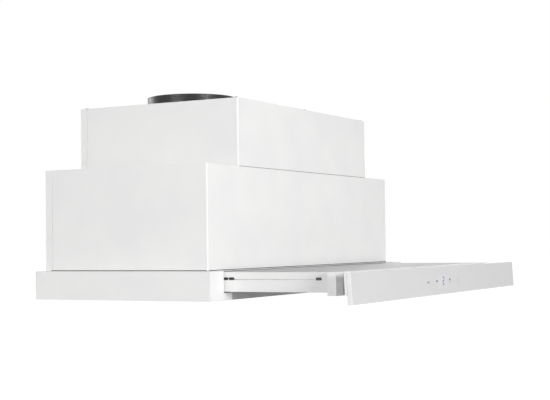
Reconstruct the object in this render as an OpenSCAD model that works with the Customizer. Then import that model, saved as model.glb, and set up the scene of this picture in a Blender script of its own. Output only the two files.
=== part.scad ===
// Pull out range hood for a 60 cm wall cabinet. The drawer with the glass front is drawn pulled out.
// Millimetres. X runs along the front, to the right of someone who faces the hood. The front is at -Y
// and +Z is up. The origin is the centre of the four cabinet screws, in the plane of the cabinet's underside.

/* [Cabinet frame] */
// Width of the frame below the cabinet, and of the front glass
hood_w = 598; // [590:1:640]
// Height of the frame below the cabinet
frame_h = 37; // [36:0.5:45]
// How far the frame stands in front of the casing, as thick as a cabinet door
door_t = 16; // [12:1:22]
// Height of the ledges and the front rail at the frame's underside
ledge_h = 9.5; // [8.5:0.5:10]
// Width of each side member beside the drawer
member_w = 33; // [31:0.5:36]
// How far each ledge reaches in below the drawer
ledge_w = 20; // [18:0.5:24]
// Distance of the cabinet screws from the frame's sides
fixing_edge = 9; // [6:0.5:12]
// Distance between the front and the rear cabinet screws
fixing_y = 160; // [100:5:200]
// Diameter of a cabinet screw hole
fixing_d = 5; // [4:0.5:6]
// Diameter of the screwdriver hole below each cabinet screw
access_d = 12; // [9:0.5:13]

/* [Casing] */
// Depth of both casings, front to back
casing_depth = 256; // [250:1:290]
// How far the middle casing stands in from each side of the frame
casing_inset = 22; // [18:0.5:24]
// Height of the middle casing
mid_h = 135; // [120:1:150]
// Width of the upper casing
upper_w = 398; // [390:1:440]
// Height of the upper casing
upper_h = 90; // [84:1:110]
// Thickness of the painted sheet steel
sheet_t = 1; // [0.8:0.1:1.2]
// Outer radius of the bends at the front corners
bend_r = 2; // [1.6:0.1:3]
// Width of the back panels' side flanges
seam_flange = 11; // [8:0.5:14]
// Width of the flanges inside the casings
inner_flange = 10; // [8:0.5:12]
// Height of the relief slit at the foot of the upper casing's corners
upper_slit_h = 10; // [6:1:14]
// Height of the relief slit at the foot of the middle casing's corners
mid_slit_h = 25; // [15:1:30]
// Width of a relief slit
slit_w = 1.2; // [0.8:0.1:2]

/* [Duct collar] */
// Distance of the collar from the middle of the hood, to the left
collar_offset = 110; // [104:1:114]
// Outer diameter of the collar, which the duct slides over
collar_d = 125; // [120:1:127]
// Height of the collar above the casing
collar_h = 15; // [14:0.5:25]
// Wall of the collar
collar_wall = 2.5; // [2:0.1:3]
// Width of the collar's foot flange
collar_flange_w = 12; // [10:0.5:13]
// Thickness of the collar's foot flange
collar_flange_t = 2.5; // [2:0.1:3]
// Thickness of a non-return flap
flap_t = 1.5; // [1.2:0.1:2]
// Diameter of the flaps' steel axle
axle_d = 3; // [2.5:0.1:4]

/* [Blower] */
// Outer diameter of the drum impeller
impeller_d = 130; // [120:1:132]
// Width of the impeller
impeller_w = 84; // [70:1:88]
// Radial depth of the impeller's blades
blade_depth = 11; // [8:0.5:12]
// Number of blades on each side of the impeller's disc
blade_count = 30; // [20:1:36]
// Width of the scroll housing
scroll_w = 100; // [96:1:106]
// Wall of the scroll housing
scroll_wall = 2; // [1.6:0.1:2.5]
// Height of the impeller's axis above the cabinet's underside
blower_z = 96; // [94:1:104]
// Distance of the impeller's axis behind the middle of the casing
blower_y = 40; // [38:0.5:42]
// Radius of the scroll at its tongue
tongue_r = 70; // [69:0.5:71]
// How much the scroll's radius grows up to the outlet
scroll_growth = 28; // [24:0.5:29]
// Inner diameter of an inlet ring
inlet_d = 100; // [92:1:102]
// Diameter of the motor
motor_d = 80; // [70:1:86]
// Length of the motor
motor_len = 62; // [50:1:70]
// Diameter of the motor shaft
shaft_d = 8; // [6:0.5:10]
// Gap between the scroll housing and the motor, where the air goes in
motor_gap = 22; // [18:1:30]

/* [Grease filters and lamps] */
// Thickness of a filter cassette
filter_t = 8; // [7:0.5:8.5]
// Width of a cassette's aluminium rim
filter_rim = 10; // [7:0.5:14]
// Depth of the lamp panel behind the fixed filters
lamp_panel_d = 70; // [64:1:76]
// Distance of each lamp from the middle of the hood
lamp_x = 150; // [110:1:190]
// Diameter of the hole for a lamp
lamp_d = 58; // [50:1:60]

/* [Drawer] */
// Travel of the drawer
travel = 147.5; // [130:0.5:150]
// How far the slides' clips stand out of the drawer's side walls
clip_out = 0.4; // [0.2:0.1:1]
// Height of the drawer's side walls
drawer_h = 24.4; // [23.8:0.1:25]
// Gap between the frame's deck and the drawer's top plate
drawer_gap = 0.6; // [0.4:0.1:0.8]
// How far the drawer's side walls stay inside the frame when it is pulled out
drawer_grip = 64; // [50:1:70]
// Thickness of the front profile that closes the drawer
profile_t = 11.5; // [9:0.5:14]
// Height of the front profile
profile_h = 27.9; // [26:0.1:29]
// How far the front profile stands out past each side wall of the drawer
profile_lap = 9.5; // [6:0.5:14]
// Height of the telescopic slides
slide_h = 20; // [19:0.5:21]

/* [Front] */
// Depth of the control housing between the front profile and the glass carrier
neck_d = 21.4; // [15:0.1:26]
// How far the control housing stands in from each side wall of the drawer
neck_inset = 10; // [3:0.5:20]
// Lean of the glass, its lower edge forward, in degrees
glass_lean = 3; // [0:0.5:5]
// Height of the glass
glass_h = 37.6; // [34:0.1:42]
// Thickness of the glass
glass_t = 6; // [4:0.5:8]
// Thickness of the steel carrier behind the glass
carrier_t = 3; // [2:0.5:4]
// Height of the steel carrier
carrier_h = 26.8; // [24:0.1:28]
// Distance of the display from the middle of the hood, to the left
display_offset = 7; // [0:1:20]

/* [Hidden] */

$fn = 48;
white = "whitesmoke";
cut = 1;                                   // how far a cutting solid passes a face
fit_gap = 0.3;                             // gap between pieces that move past each other
run_gap = 0.05;                            // radial gap of a shaft in its bore

back_y = casing_depth / 2;                 // the wall
front_y = -casing_depth / 2;               // front of both casings
frame_front_y = front_y - door_t;
mid_top = mid_h;
top_z = mid_h + upper_h;
half_w = hood_w / 2;
mid_w = hood_w - 2 * casing_inset;
fixing_x = half_w - fixing_edge;
mouth_x = half_w - member_w;               // half the width of the frame's mouth
deck_x = mid_w / 2 + 0.2;                  // half the width of the deck that carries the casing
ledge_x = mouth_x - ledge_w;               // inner edge of the ledges
ledge_top = ledge_h - frame_h;

collar_x = -collar_offset;
collar_r = collar_d / 2;
collar_in = collar_r - collar_wall;
flap_r = collar_in - 0.6;
flap_z = top_z + 5;                        // height of the flaps' axle
axle_r = axle_d / 2;
knuckle_r = axle_r + 1.5;
knuckle_x = [-44, 2];                      // where each flap's knuckles begin along the axle
knuckle_l = 14;
flap_root = knuckle_r + flap_t / 2;        // where the flaps' discs begin, so that both can stand up

blade_r = impeller_d / 2;
impeller_x0 = collar_x - impeller_w / 2;
scroll_x0 = collar_x - scroll_w / 2;
scroll_x1 = collar_x + scroll_w / 2;
outlet_flange = 8;                         // width of the flange round the scroll's outlet
collar_screw_y = 42;                       // distance of each collar screw from the collar's middle
inlet_r = inlet_d / 2;
inlet_lip = 2;
inlet_seat = inlet_r + inlet_lip + 6;      // radius of the hole in the scroll that an inlet ring sits in
hub_r = shaft_d / 2 + 8;
motor_x0 = scroll_x1 + motor_gap;
motor_r = motor_d / 2;
arm_r = motor_r + 30;                      // radius at which the motor's arms meet the scroll
tongue_turn = 75;                          // angle of the tongue above the impeller's axis
tongue_y = blower_y + tongue_r * cos(tongue_turn);
outlet_y0 = blower_y - tongue_r - scroll_growth;
outlet_z = top_z - sheet_t;

box_x0 = 60;
box_x1 = 200;
box_d = 52;
box_h = 60;
box_wall = 2;
box_y1 = back_y - sheet_t - 6;
box_y0 = box_y1 - box_d;
gland_x = (upper_w + mid_w) / 4 + 2;
gland_y = back_y - 38;
gland_r = 8;
cord_r = 4;

lamp_y0 = back_y - sheet_t - lamp_panel_d;
lamp_y = back_y - sheet_t - lamp_panel_d / 2;
lamp_r = lamp_d / 2;
inlet_x = ledge_x - 6;                     // half the width of the deck's air opening
inlet_y0 = front_y + 28;
inlet_y1 = box_y0 - 6;

filter_z0 = -frame_h;
rail_d = 8;                                // depth of the frame's front rail
filter_y0 = frame_front_y + rail_d + 0.5;
filter_y1 = lamp_y0 - 2;
filter_x = ledge_x - 0.5;
latch_w = 40;
latch_d = 22;
latch_h = 5;
rib_z = 2;                                 // height of the latch's guide ribs in their grooves
rib_t = 1.2;
bolt_w = 12;
bolt_t = 1.8;
bolt_z = 1.4;
bolt_reach = 4;                            // how far a bolt stands out of its cassette
latch_travel = 5;

drawer_top = -sheet_t - drawer_gap;
drawer_floor = drawer_top - drawer_h;
side_x = mouth_x - clip_out - fit_gap;
closed_gap = 0.5;
profile_y1 = frame_front_y - closed_gap - travel;
profile_y0 = profile_y1 - profile_t;
profile_z0 = drawer_top - profile_h;
drawer_rear = frame_front_y + drawer_grip;
plate_rear = drawer_rear - 20;
rear_bar_y = frame_front_y - 4;
drawer_filter_x = ledge_x - 2;
drawer_filter_z0 = drawer_floor + 0.4;
groove_z = drawer_top - 9.2;
groove_t = 0.8;
clip_z = drawer_top - 8.2;
clip_l = 8;
clip_h = 3.4;
clip_pin_r = 1;
stop_y = [profile_y1 + 16, frame_front_y - 11, frame_front_y - 2.3];

rail_t = 1.2;
rail_gap = 0.4;
slide_z1 = drawer_top - 2.4;
slide_z0 = slide_z1 - slide_h;
slide_x = side_x - sheet_t;                // the drawer rail's face against the side wall

neck_y0 = profile_y0 - neck_d;
neck_x = side_x - neck_inset;
neck_top = drawer_top - 1.4;
display_x = -display_offset;
window_w = 136;
window_h = 15;
window_z = -9;                             // top of the carrier's window, below the glass's top edge

top_screws = [for (x = [-1, 0, 1], y = [-1, 1])
    [x * (upper_w / 2 - sheet_t - inner_flange / 2), y * (back_y - sheet_t - inner_flange / 2)]];
collar_screws = [for (x = [-1, 1], y = [-1, 1])
    [collar_x + x * (scroll_w + outlet_flange) / 2, y * collar_screw_y]];
screw_r = 1.5;
head_r = 3.2;
head_t = 1.6;

// A block between two opposite corners.
module block(low, high) {
    translate(low) cube(high - low);
}

// Children as drawn for the left side, or mirrored for the right one.
module on_side(left) {
    if (left) {
        children();
    } else {
        mirror([1, 0, 0]) children();
    }
}

// A rod along X, or a bore for one.
module rod_x(r, x0, x1) {
    translate([x0, 0, 0]) rotate([0, 90, 0]) cylinder(r = r, h = x1 - x0);
}

// A rod along Y, or a bore for one.
module rod_y(r, y0, y1) {
    translate([0, y0, 0]) rotate([-90, 0, 0]) cylinder(r = r, h = y1 - y0);
}

// A round head screw that points down, with its head's seat at z = 0.
module screw(length) {
    cylinder(r = head_r, h = head_t);
    translate([0, 0, -length]) cylinder(r = screw_r, h = length + head_t / 2);
}

// Round holes through a sheet whose lower face is at z.
module holes(places, z, r, t = sheet_t) {
    for (place = places) {
        translate([place[0], place[1], z - cut]) cylinder(r = r, h = t + 2 * cut);
    }
}

// ---- Casings ----

// Plan of a box with two bent corners at the front.
module bent_plan(w, y0, y1, r) {
    translate([-w / 2, y0 + r]) square([w, y1 - y0 - r]);
    translate([-w / 2 + r, y0]) square([w - 2 * r, r]);
    for (side = [-1, 1]) {
        translate([side * (w / 2 - r), y0 + r]) circle(r = r);
    }
}

// One sheet bent round the front and both sides, with laps for the back panel's flanges.
module wrap(w, h, slit_h) {
    wall_end = back_y - seam_flange - 0.2;
    difference() {
        union() {
            linear_extrude(height = h) difference() {
                bent_plan(w, front_y, wall_end, bend_r);
                bent_plan(w - 2 * sheet_t, front_y + sheet_t, wall_end + cut, bend_r - sheet_t);
            }
            for (side = [0, 1]) {
                on_side(side == 0) {
                    block([-w / 2 + sheet_t / 2, wall_end - seam_flange, 0],
                        [-w / 2 + 2 * sheet_t, wall_end, h - sheet_t]);
                    block([-w / 2 + sheet_t, wall_end - sheet_t, 0],
                        [-w / 2 + 2 * sheet_t, back_y - sheet_t, h - sheet_t]);
                }
            }
            block([-w / 2 + 2 * bend_r, front_y + sheet_t / 2, 0],
                [w / 2 - 2 * bend_r, front_y + sheet_t + inner_flange, sheet_t]);
        }
        for (side = [-1, 1]) {
            translate([side * w / 2, front_y, -cut]) rotate([0, 0, side * 45])
                translate([-2 * bend_r, -slit_w / 2, 0]) cube([4 * bend_r, slit_w, slit_h + cut]);
        }
    }
}

// A back panel with a flange down each side.
module back_panel(w, h) {
    block([-w / 2, back_y - sheet_t, 0], [w / 2, back_y, h]);
    for (side = [0, 1]) {
        on_side(side == 0) block([-w / 2, back_y - seam_flange, 0], [-w / 2 + sheet_t, back_y, h]);
    }
}

module middle_casing() {
    color(white) wrap(mid_w, mid_h, mid_slit_h);
}

module middle_back_panel() {
    color(white) back_panel(mid_w, mid_h);
}

module step_plate() {
    open_x = upper_w / 2 - sheet_t - inner_flange;
    open_y = back_y - sheet_t - inner_flange;
    color(white) difference() {
        block([-mid_w / 2 + sheet_t, front_y + sheet_t, mid_h - sheet_t],
            [mid_w / 2 - sheet_t, back_y - sheet_t, mid_h]);
        block([-open_x, -open_y, mid_h - sheet_t - cut], [open_x, open_y, mid_h + cut]);
        holes([[gland_x, gland_y]], mid_h - sheet_t, gland_r);
    }
}

module upper_casing() {
    color(white) difference() {
        translate([0, 0, mid_top]) union() {
            wrap(upper_w, upper_h, upper_slit_h);
            for (side = [0, 1]) {
                on_side(side == 0) {
                    block([-upper_w / 2 + sheet_t / 2, front_y + sheet_t + inner_flange, 0],
                        [-upper_w / 2 + sheet_t + inner_flange, back_y - 2 * seam_flange, sheet_t]);
                    block([-upper_w / 2 + sheet_t, front_y + sheet_t, upper_h - 2 * sheet_t],
                        [-upper_w / 2 + sheet_t + inner_flange, back_y - sheet_t, upper_h - sheet_t]);
                }
            }
            block([-upper_w / 2 + sheet_t, front_y + sheet_t / 2, upper_h - 2 * sheet_t],
                [upper_w / 2 - sheet_t, front_y + sheet_t + inner_flange, upper_h - sheet_t]);
        }
        holes(top_screws, top_z - 2 * sheet_t, screw_r + run_gap);
    }
}

module upper_back_panel() {
    color(white) difference() {
        translate([0, 0, mid_top]) union() {
            back_panel(upper_w, upper_h);
            block([-upper_w / 2 + 2 * sheet_t + inner_flange, back_y - sheet_t - inner_flange,
                upper_h - 2 * sheet_t],
                [upper_w / 2 - 2 * sheet_t - inner_flange, back_y - sheet_t / 2, upper_h - sheet_t]);
        }
        holes(top_screws, top_z - 2 * sheet_t, screw_r + run_gap);
    }
}

module top_plate() {
    color(white) difference() {
        block([-upper_w / 2 + sheet_t, front_y + sheet_t, top_z - sheet_t],
            [upper_w / 2 - sheet_t, back_y - sheet_t, top_z]);
        intersection() {
            holes([[collar_x, 0]], top_z - sheet_t, collar_in - 2);
            block([scroll_x0 + scroll_wall, front_y, mid_top],
                [scroll_x1 - scroll_wall, back_y, top_z + cut]);
        }
        holes(top_screws, top_z - sheet_t, screw_r + run_gap);
        holes(collar_screws, top_z - sheet_t, screw_r + run_gap);
    }
}

// ---- Duct collar with its non-return flaps ----

module duct_collar() {
    stop_w = 4;
    color("dimgray") difference() {
        translate([collar_x, 0, top_z]) union() {
            rotate_extrude() {
                translate([collar_in, 0]) square([collar_wall, collar_h]);
                translate([collar_in - stop_w, 0])
                    square([stop_w + collar_wall, flap_z - top_z - flap_t / 2 - fit_gap]);
                translate([collar_in, 0]) square([collar_wall + collar_flange_w, collar_flange_t]);
            }
        }
        translate([0, 0, flap_z]) rod_x(axle_r, collar_x - collar_r + 0.8, collar_x + collar_r - 0.8);
        holes(collar_screws, top_z, screw_r + run_gap, collar_flange_t);
    }
}

module flap_axle() {
    color("silver") translate([0, 0, flap_z])
        rod_x(axle_r, collar_x - collar_r + 0.8, collar_x + collar_r - 0.8);
}

// Half a disc on the front side of the axle, with two knuckles that alternate with the other flap's.
module flap() {
    difference() {
        union() {
            intersection() {
                translate([0, 0, -flap_t / 2]) cylinder(r = flap_r, h = flap_t, $fn = 96);
                block([-collar_r, -collar_r, -flap_t], [collar_r, -flap_root, flap_t]);
            }
            for (x = knuckle_x) {
                rod_x(knuckle_r, x, x + knuckle_l);
                block([x, -flap_root - 1, -flap_t / 2], [x + knuckle_l, 0, flap_t / 2]);
            }
        }
        rod_x(axle_r + run_gap, -collar_r, collar_r);
    }
}

module flap_front() {
    color("gray") translate([collar_x, 0, flap_z]) flap();
}

module flap_rear() {
    color("gray") translate([collar_x, 0, flap_z]) rotate([0, 0, 180]) flap();
}

module casing_screws() {
    color("silver") {
        for (place = top_screws) {
            translate([place[0], place[1], top_z]) screw(2 * sheet_t + 3);
        }
        for (place = collar_screws) {
            translate([place[0], place[1], top_z + collar_flange_t])
                screw(collar_flange_t + sheet_t + scroll_wall + 1.5);
        }
    }
}

// ---- Blower ----

// Outline of the scroll in the plane across the impeller's axis, larger by the given wall.
function scroll_outline(wall) = concat(
    [for (step = [0:30]) let (turn = tongue_turn - step * (tongue_turn + 180) / 30,
        r = tongue_r + wall + scroll_growth * step / 30)
        [blower_y + r * cos(turn), blower_z + r * sin(turn)]],
    [[outlet_y0 - wall, outlet_z], [tongue_y + wall, outlet_z]]);

// The outline as a solid between two places along X.
module scroll_solid(wall, x0, x1) {
    translate([x0, 0, 0]) rotate([90, 0, 90]) linear_extrude(height = x1 - x0)
        polygon(scroll_outline(wall));
}

// One half of the scroll housing, from its inlet wall to the middle of the impeller.
module scroll_shell() {
    difference() {
        union() {
            scroll_solid(scroll_wall, scroll_x0, collar_x);
            block([scroll_x0 - outlet_flange, outlet_y0 - outlet_flange, outlet_z - scroll_wall],
                [collar_x, tongue_y + outlet_flange, outlet_z]);
        }
        intersection() {
            scroll_solid(0, scroll_x0 + scroll_wall, collar_x + cut);
            block([scroll_x0, front_y, 0], [collar_x + cut, back_y, top_z]);
        }
        translate([0, blower_y, blower_z])
            rod_x(inlet_seat, scroll_x0 - cut, scroll_x0 + scroll_wall + cut);
        holes(collar_screws, outlet_z - scroll_wall, screw_r + run_gap, scroll_wall);
    }
}

// The inlet ring, whose rounded lip leads the air into the impeller.
module inlet_ring() {
    reach = (scroll_w - impeller_w) / 2 + 3;
    translate([scroll_x0, blower_y, blower_z]) rotate([0, 90, 0]) rotate_extrude() {
        translate([inlet_r + inlet_lip, -scroll_wall]) square([10, scroll_wall]);
        translate([inlet_r, -scroll_wall - 2]) square([inlet_lip, reach + scroll_wall + 2]);
        translate([inlet_r + inlet_lip, 0]) square([6 - run_gap, scroll_wall]);
    }
}

// Children mirrored to the other side of the impeller's middle.
module on_motor_side() {
    translate([2 * collar_x, 0, 0]) mirror([1, 0, 0]) children();
}

module scroll_shell_left() {
    color("lightgray") scroll_shell();
}

module scroll_shell_right() {
    color("lightgray") difference() {
        on_motor_side() scroll_shell();
        for (turn = [90:120:330]) {
            translate([0, blower_y, blower_z]) rotate([turn, 0, 0]) translate([0, arm_r, 0])
                rod_x(screw_r + run_gap, scroll_x1 - scroll_wall - cut, scroll_x1 + cut);
        }
    }
}

module inlet_ring_left() {
    color("darkgray") inlet_ring();
}

module inlet_ring_right() {
    color("darkgray") on_motor_side() inlet_ring();
}

// One forward-curved blade, as a bent strip of the cross-section.
module blade_plan() {
    bend = [[0, 0], [0.41, 0.11], [0.73, 0.33], [0.95, 0.64]] * blade_depth;
    across = [-0.6, 1.2];
    translate([blade_r - blade_depth, 0])
        polygon(concat(bend, [for (i = [3:-1:0]) bend[i] + across]));
}

module impeller() {
    disc_t = 2;
    ring_t = 2.5;
    ring_w = 5;
    hub_l = 24;
    color("darkslategray") translate([impeller_x0, blower_y, blower_z]) rotate([90, 0, 90]) difference() {
        union() {
            for (i = [0:blade_count - 1]) {
                rotate([0, 0, i * 360 / blade_count]) translate([0, 0, ring_t / 2])
                    linear_extrude(height = impeller_w - ring_t) blade_plan();
            }
            for (z = [0, impeller_w - ring_t]) {
                translate([0, 0, z]) difference() {
                    cylinder(r = blade_r, h = ring_t);
                    translate([0, 0, -cut]) cylinder(r = blade_r - ring_w, h = ring_t + 2 * cut);
                }
            }
            translate([0, 0, impeller_w / 2 - disc_t / 2]) cylinder(r = blade_r - 1, h = disc_t);
            translate([0, 0, impeller_w / 2 - disc_t / 2]) cylinder(r = hub_r, h = hub_l);
        }
        cylinder(r = shaft_d / 2, h = impeller_w);
    }
}

module motor_shaft() {
    color("silver") translate([0, blower_y, blower_z])
        rod_x(shaft_d / 2, collar_x - 2, motor_x0 + motor_len + 6);
}

module motor_body() {
    bell_r = motor_r - 6;
    color("gainsboro") translate([0, blower_y, blower_z]) difference() {
        union() {
            rod_x(bell_r, motor_x0, motor_x0 + motor_len);
            rod_x(motor_r, motor_x0 + 10, motor_x0 + motor_len - 12);
            rod_x(hub_r, motor_x0 - 4, motor_x0 + motor_len + 4);
        }
        rod_x(shaft_d / 2 + run_gap, motor_x0 - 4 - cut, motor_x0 + motor_len + 4 + cut);
    }
}

// A ring round the motor's front bell, with three arms that carry it on the scroll housing.
module motor_bracket() {
    ring_t = 6;
    foot_r = 7;
    color("silver") translate([0, blower_y, blower_z]) difference() {
        union() {
            rod_x(motor_r + 2, motor_x0 + 2, motor_x0 + 2 + ring_t);
            for (turn = [90:120:330]) {
                rotate([turn, 0, 0]) {
                    block([motor_x0 + 2, motor_r - 2, -5], [motor_x0 + 2 + ring_t, arm_r, 5]);
                    translate([0, arm_r, 0]) rod_x(foot_r, scroll_x1, motor_x0 + 2 + ring_t);
                }
            }
        }
        rod_x(motor_r - 6, motor_x0, motor_x0 + 3 + ring_t);
        for (turn = [90:120:330]) {
            rotate([turn, 0, 0]) translate([0, arm_r, 0]) rod_x(screw_r + run_gap, scroll_x1 - cut,
                scroll_x1 + 12);
        }
    }
}

module motor_capacitor() {
    can_r = 16;
    can_h = 52;
    stud_h = 4;
    color("white") translate([box_x0 - can_r - 8, box_y0 + box_d / 2, 0]) {
        cylinder(r = can_r, h = can_h);
        cylinder(r = can_r / 3, h = can_h + stud_h);
    }
}

// ---- Electronics ----

module electronics_box() {
    color("dimgray") difference() {
        block([box_x0, box_y0, 0], [box_x1, box_y1, box_h]);
        block([box_x0 + box_wall, box_y0 + box_wall, box_wall],
            [box_x1 - box_wall, box_y1 - box_wall, box_h + cut]);
        translate([0, box_y0 + box_d / 2, box_h - 14]) rod_x(6, box_x1 - box_wall - cut, box_x1 + cut);
    }
}

module electronics_lid() {
    color("dimgray") {
        block([box_x0, box_y0, box_h], [box_x1, box_y1, box_h + box_wall]);
        block([box_x0 + box_wall + fit_gap, box_y0 + box_wall + fit_gap, box_h - 4],
            [box_x1 - box_wall - fit_gap, box_y1 - box_wall - fit_gap, box_h]);
    }
}

// The power board on its four posts, with a transformer and two relays.
module power_board() {
    post_h = 6;
    post_r = 3;
    board_t = 1.6;
    inset = 8;
    transformer = [34, 28, 28];
    relay = [14, 20, 16];
    color("darkgreen") translate([box_x0 + inset, box_y0 + inset, box_wall + post_h]) {
        board = [box_x1 - box_x0 - 2 * inset, box_d - 2 * inset, board_t];
        cube(board);
        translate([post_r + 3, 4, board_t / 2]) cube(transformer);
        for (i = [1, 2]) {
            translate([transformer[0] + i * (relay[0] + 6), 4, board_t / 2]) cube(relay);
        }
        for (x = [post_r, board[0] - post_r], y = [post_r, board[1] - post_r]) {
            translate([x, y, -post_h]) cylinder(r = post_r, h = post_h);
        }
    }
}

module terminal_block() {
    color("ivory") difference() {
        block([box_x1 + 6, box_y0 + 10, 0], [box_x1 + 38, box_y1 - 12, 18]);
        for (x = [0:2]) {
            translate([box_x1 + 12 + x * 10, box_y0 + box_d / 2, 8]) cylinder(r = 3, h = 11);
        }
    }
}

// A bushing with a clamping collar, which the mains lead leaves through.
module cable_gland() {
    color("black") translate([gland_x, gland_y, mid_top]) difference() {
        union() {
            translate([0, 0, -sheet_t - 6]) cylinder(r = gland_r, h = sheet_t + 6);
            cylinder(r = gland_r + 3, h = 3);
            cylinder(r = gland_r - 1, h = 12);
            translate([0, 0, -sheet_t - 6]) cylinder(r = gland_r + 3, h = 6);
        }
        translate([0, 0, -sheet_t - 6 - cut]) cylinder(r = cord_r, h = sheet_t + 18 + 2 * cut);
    }
}

button_r = 1.8;
button_out = 2;                            // how far the button stands out of the switch
switch_y = drawer_rear + travel + button_out + fit_gap;

module drawer_switch() {
    color("black") difference() {
        block([-10, switch_y, -sheet_t - 8], [10, switch_y + 12, -sheet_t]);
        translate([0, 0, -sheet_t - 4]) rod_y(button_r + run_gap, switch_y - cut, switch_y + 6);
    }
}

module switch_button() {
    color("red") translate([0, 0, -sheet_t - 4]) rod_y(button_r, switch_y - button_out, switch_y + 3.6);
}

// ---- Frame below the cabinet ----

// The closed section of a side member: outer wall, top flange with a step down for the deck, inner
// wall and ledge.
module side_section(grow) {
    polygon([[-half_w - grow, -frame_h - grow], [-ledge_x + grow, -frame_h - grow],
        [-ledge_x + grow, ledge_top + grow], [-mouth_x + grow, ledge_top + grow],
        [-mouth_x + grow, -sheet_t + grow], [-deck_x + grow, -sheet_t + grow],
        [-deck_x + grow, grow], [-half_w - grow, grow]]);
}

module frame_side() {
    difference() {
        translate([0, back_y - sheet_t, 0]) rotate([90, 0, 0])
            linear_extrude(height = back_y - sheet_t - frame_front_y) side_section(0);
        translate([0, back_y, 0]) rotate([90, 0, 0])
            linear_extrude(height = back_y - sheet_t - frame_front_y) side_section(-sheet_t);
        for (y = [-fixing_y / 2, fixing_y / 2]) {
            holes([[-fixing_x, y]], -sheet_t, fixing_d / 2);
            holes([[-fixing_x + 1.5, y]], -frame_h, access_d / 2);
        }
    }
}

module frame_side_left() {
    color(white) frame_side();
}

module frame_side_right() {
    color(white) on_side(false) frame_side();
}

module frame_front_rail() {
    color("gray") {
        block([-ledge_x, frame_front_y, -frame_h], [ledge_x, frame_front_y + sheet_t, ledge_top]);
        block([-ledge_x, frame_front_y + sheet_t / 2, -frame_h],
            [ledge_x, frame_front_y + rail_d, -frame_h + sheet_t]);
        block([-ledge_x, frame_front_y + sheet_t / 2, ledge_top - sheet_t],
            [ledge_x, frame_front_y + rail_d - 3, ledge_top]);
    }
}

module frame_rear_rail() {
    color(white) block([-half_w, back_y - sheet_t, -frame_h], [half_w, back_y, 0]);
}

// The sheet on which the casing stands, open where the filtered air goes up. It lies on the side
// members, and its wings reach to their front ends.
module frame_deck() {
    color(white) difference() {
        union() {
            block([-deck_x, front_y, -sheet_t], [deck_x, back_y - sheet_t, 0]);
            for (side = [0, 1]) {
                on_side(side == 0)
                    block([-deck_x, frame_front_y, -sheet_t], [-mouth_x, front_y + cut, 0]);
            }
        }
        block([-inlet_x, inlet_y0, -sheet_t - cut], [inlet_x, inlet_y1, cut]);
    }
}

// ---- Lamps ----

module lamp_panel() {
    color(white) difference() {
        union() {
            block([-ledge_x, lamp_y0, -frame_h], [ledge_x, back_y - sheet_t, -frame_h + sheet_t]);
            block([-ledge_x, lamp_y0, -frame_h], [ledge_x, lamp_y0 + sheet_t, -frame_h + 5.6]);
        }
        holes([[-lamp_x, lamp_y], [lamp_x, lamp_y]], -frame_h, lamp_r);
    }
}

module lamp_bezel(x) {
    body_h = 9;
    translate([x, lamp_y, -frame_h]) difference() {
        union() {
            translate([0, 0, -1.5]) cylinder(r = lamp_r + 4, h = 1.5);
            cylinder(r = lamp_r, h = body_h - 1);
        }
        translate([0, 0, -1.5 - cut]) cylinder(r = lamp_r - 5, h = cut + 6);
    }
}

module lamp_lens(x) {
    translate([x, lamp_y, -frame_h - 1]) cylinder(r = lamp_r - 5, h = 2);
}

module lamp_bezel_left() {
    color("silver") lamp_bezel(-lamp_x);
}

module lamp_bezel_right() {
    color("silver") lamp_bezel(lamp_x);
}

module lamp_lens_left() {
    color("lightyellow") lamp_lens(-lamp_x);
}

module lamp_lens_right() {
    color("lightyellow") lamp_lens(lamp_x);
}

// ---- Grease filters ----

// A cassette's latch pocket in the middle of its front edge, with a groove down each side.
module latch_pocket(x0, x1, y0, z0) {
    middle = (x0 + x1) / 2;
    groove = latch_w / 2 + rib_t + fit_gap;
    block([middle - latch_w / 2, y0 - cut, z0 - cut], [middle + latch_w / 2, y0 + latch_d, z0 + latch_h]);
    block([middle - groove, y0 - cut, z0 + rib_z - fit_gap],
        [middle + groove, y0 + latch_d, z0 + rib_z + rib_t + fit_gap]);
}

// A cassette's rim, with two tongues at its rear edge that rest on the sheet behind it.
module filter_rim(x0, x1, y0, y1, z0, tongue_z, tongue_l) {
    difference() {
        block([x0, y0, z0], [x1, y1, z0 + filter_t]);
        block([x0 + filter_rim, y0 + filter_rim, z0 - cut],
            [x1 - filter_rim, y1 - filter_rim, z0 + filter_t + cut]);
        latch_pocket(x0, x1, y0, z0);
    }
    for (share = [0.125, 0.875]) {
        middle = x0 + (x1 - x0) * share;
        block([middle - 8, y1 - 1, tongue_z], [middle + 8, y1 + tongue_l, tongue_z + 1.2]);
    }
}

// The layers of mesh inside a cassette's rim.
module filter_pad(x0, x1, y0, y1, z0) {
    layer_t = 0.6;
    step = (filter_t - 2.4 - layer_t) / 2;
    difference() {
        for (i = [0:2]) {
            block([x0 + filter_rim, y0 + filter_rim, z0 + 1.2 + i * step],
                [x1 - filter_rim, y1 - filter_rim, z0 + 1.2 + layer_t + i * step]);
        }
        latch_pocket(x0, x1, y0, z0);
    }
}

// A sliding latch with a finger recess, a guide rib down each side and its bolt at the front.
module latch(middle, y0, z0) {
    slider = latch_w / 2 - fit_gap;
    y1 = y0 + latch_d - latch_travel - 1;
    difference() {
        union() {
            block([middle - slider, y0 + 2, z0 + 0.2], [middle + slider, y1, z0 + latch_h - fit_gap]);
            block([middle - slider - rib_t, y0 + 2, z0 + rib_z],
                [middle + slider + rib_t, y1, z0 + rib_z + rib_t]);
            block([middle - bolt_w / 2, y0 - bolt_reach, z0 + bolt_z],
                [middle + bolt_w / 2, y0 + 3, z0 + bolt_z + bolt_t]);
        }
        block([middle - 13, y0 + 5, z0 - cut], [middle + 13, y0 + 12, z0 + 3]);
    }
}

fixed_tongue_z = -frame_h + 5.6 + fit_gap;

module filter_frame_left() {
    color("silver") filter_rim(-filter_x, -0.3, filter_y0, filter_y1, filter_z0, fixed_tongue_z, 5);
}

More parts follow.
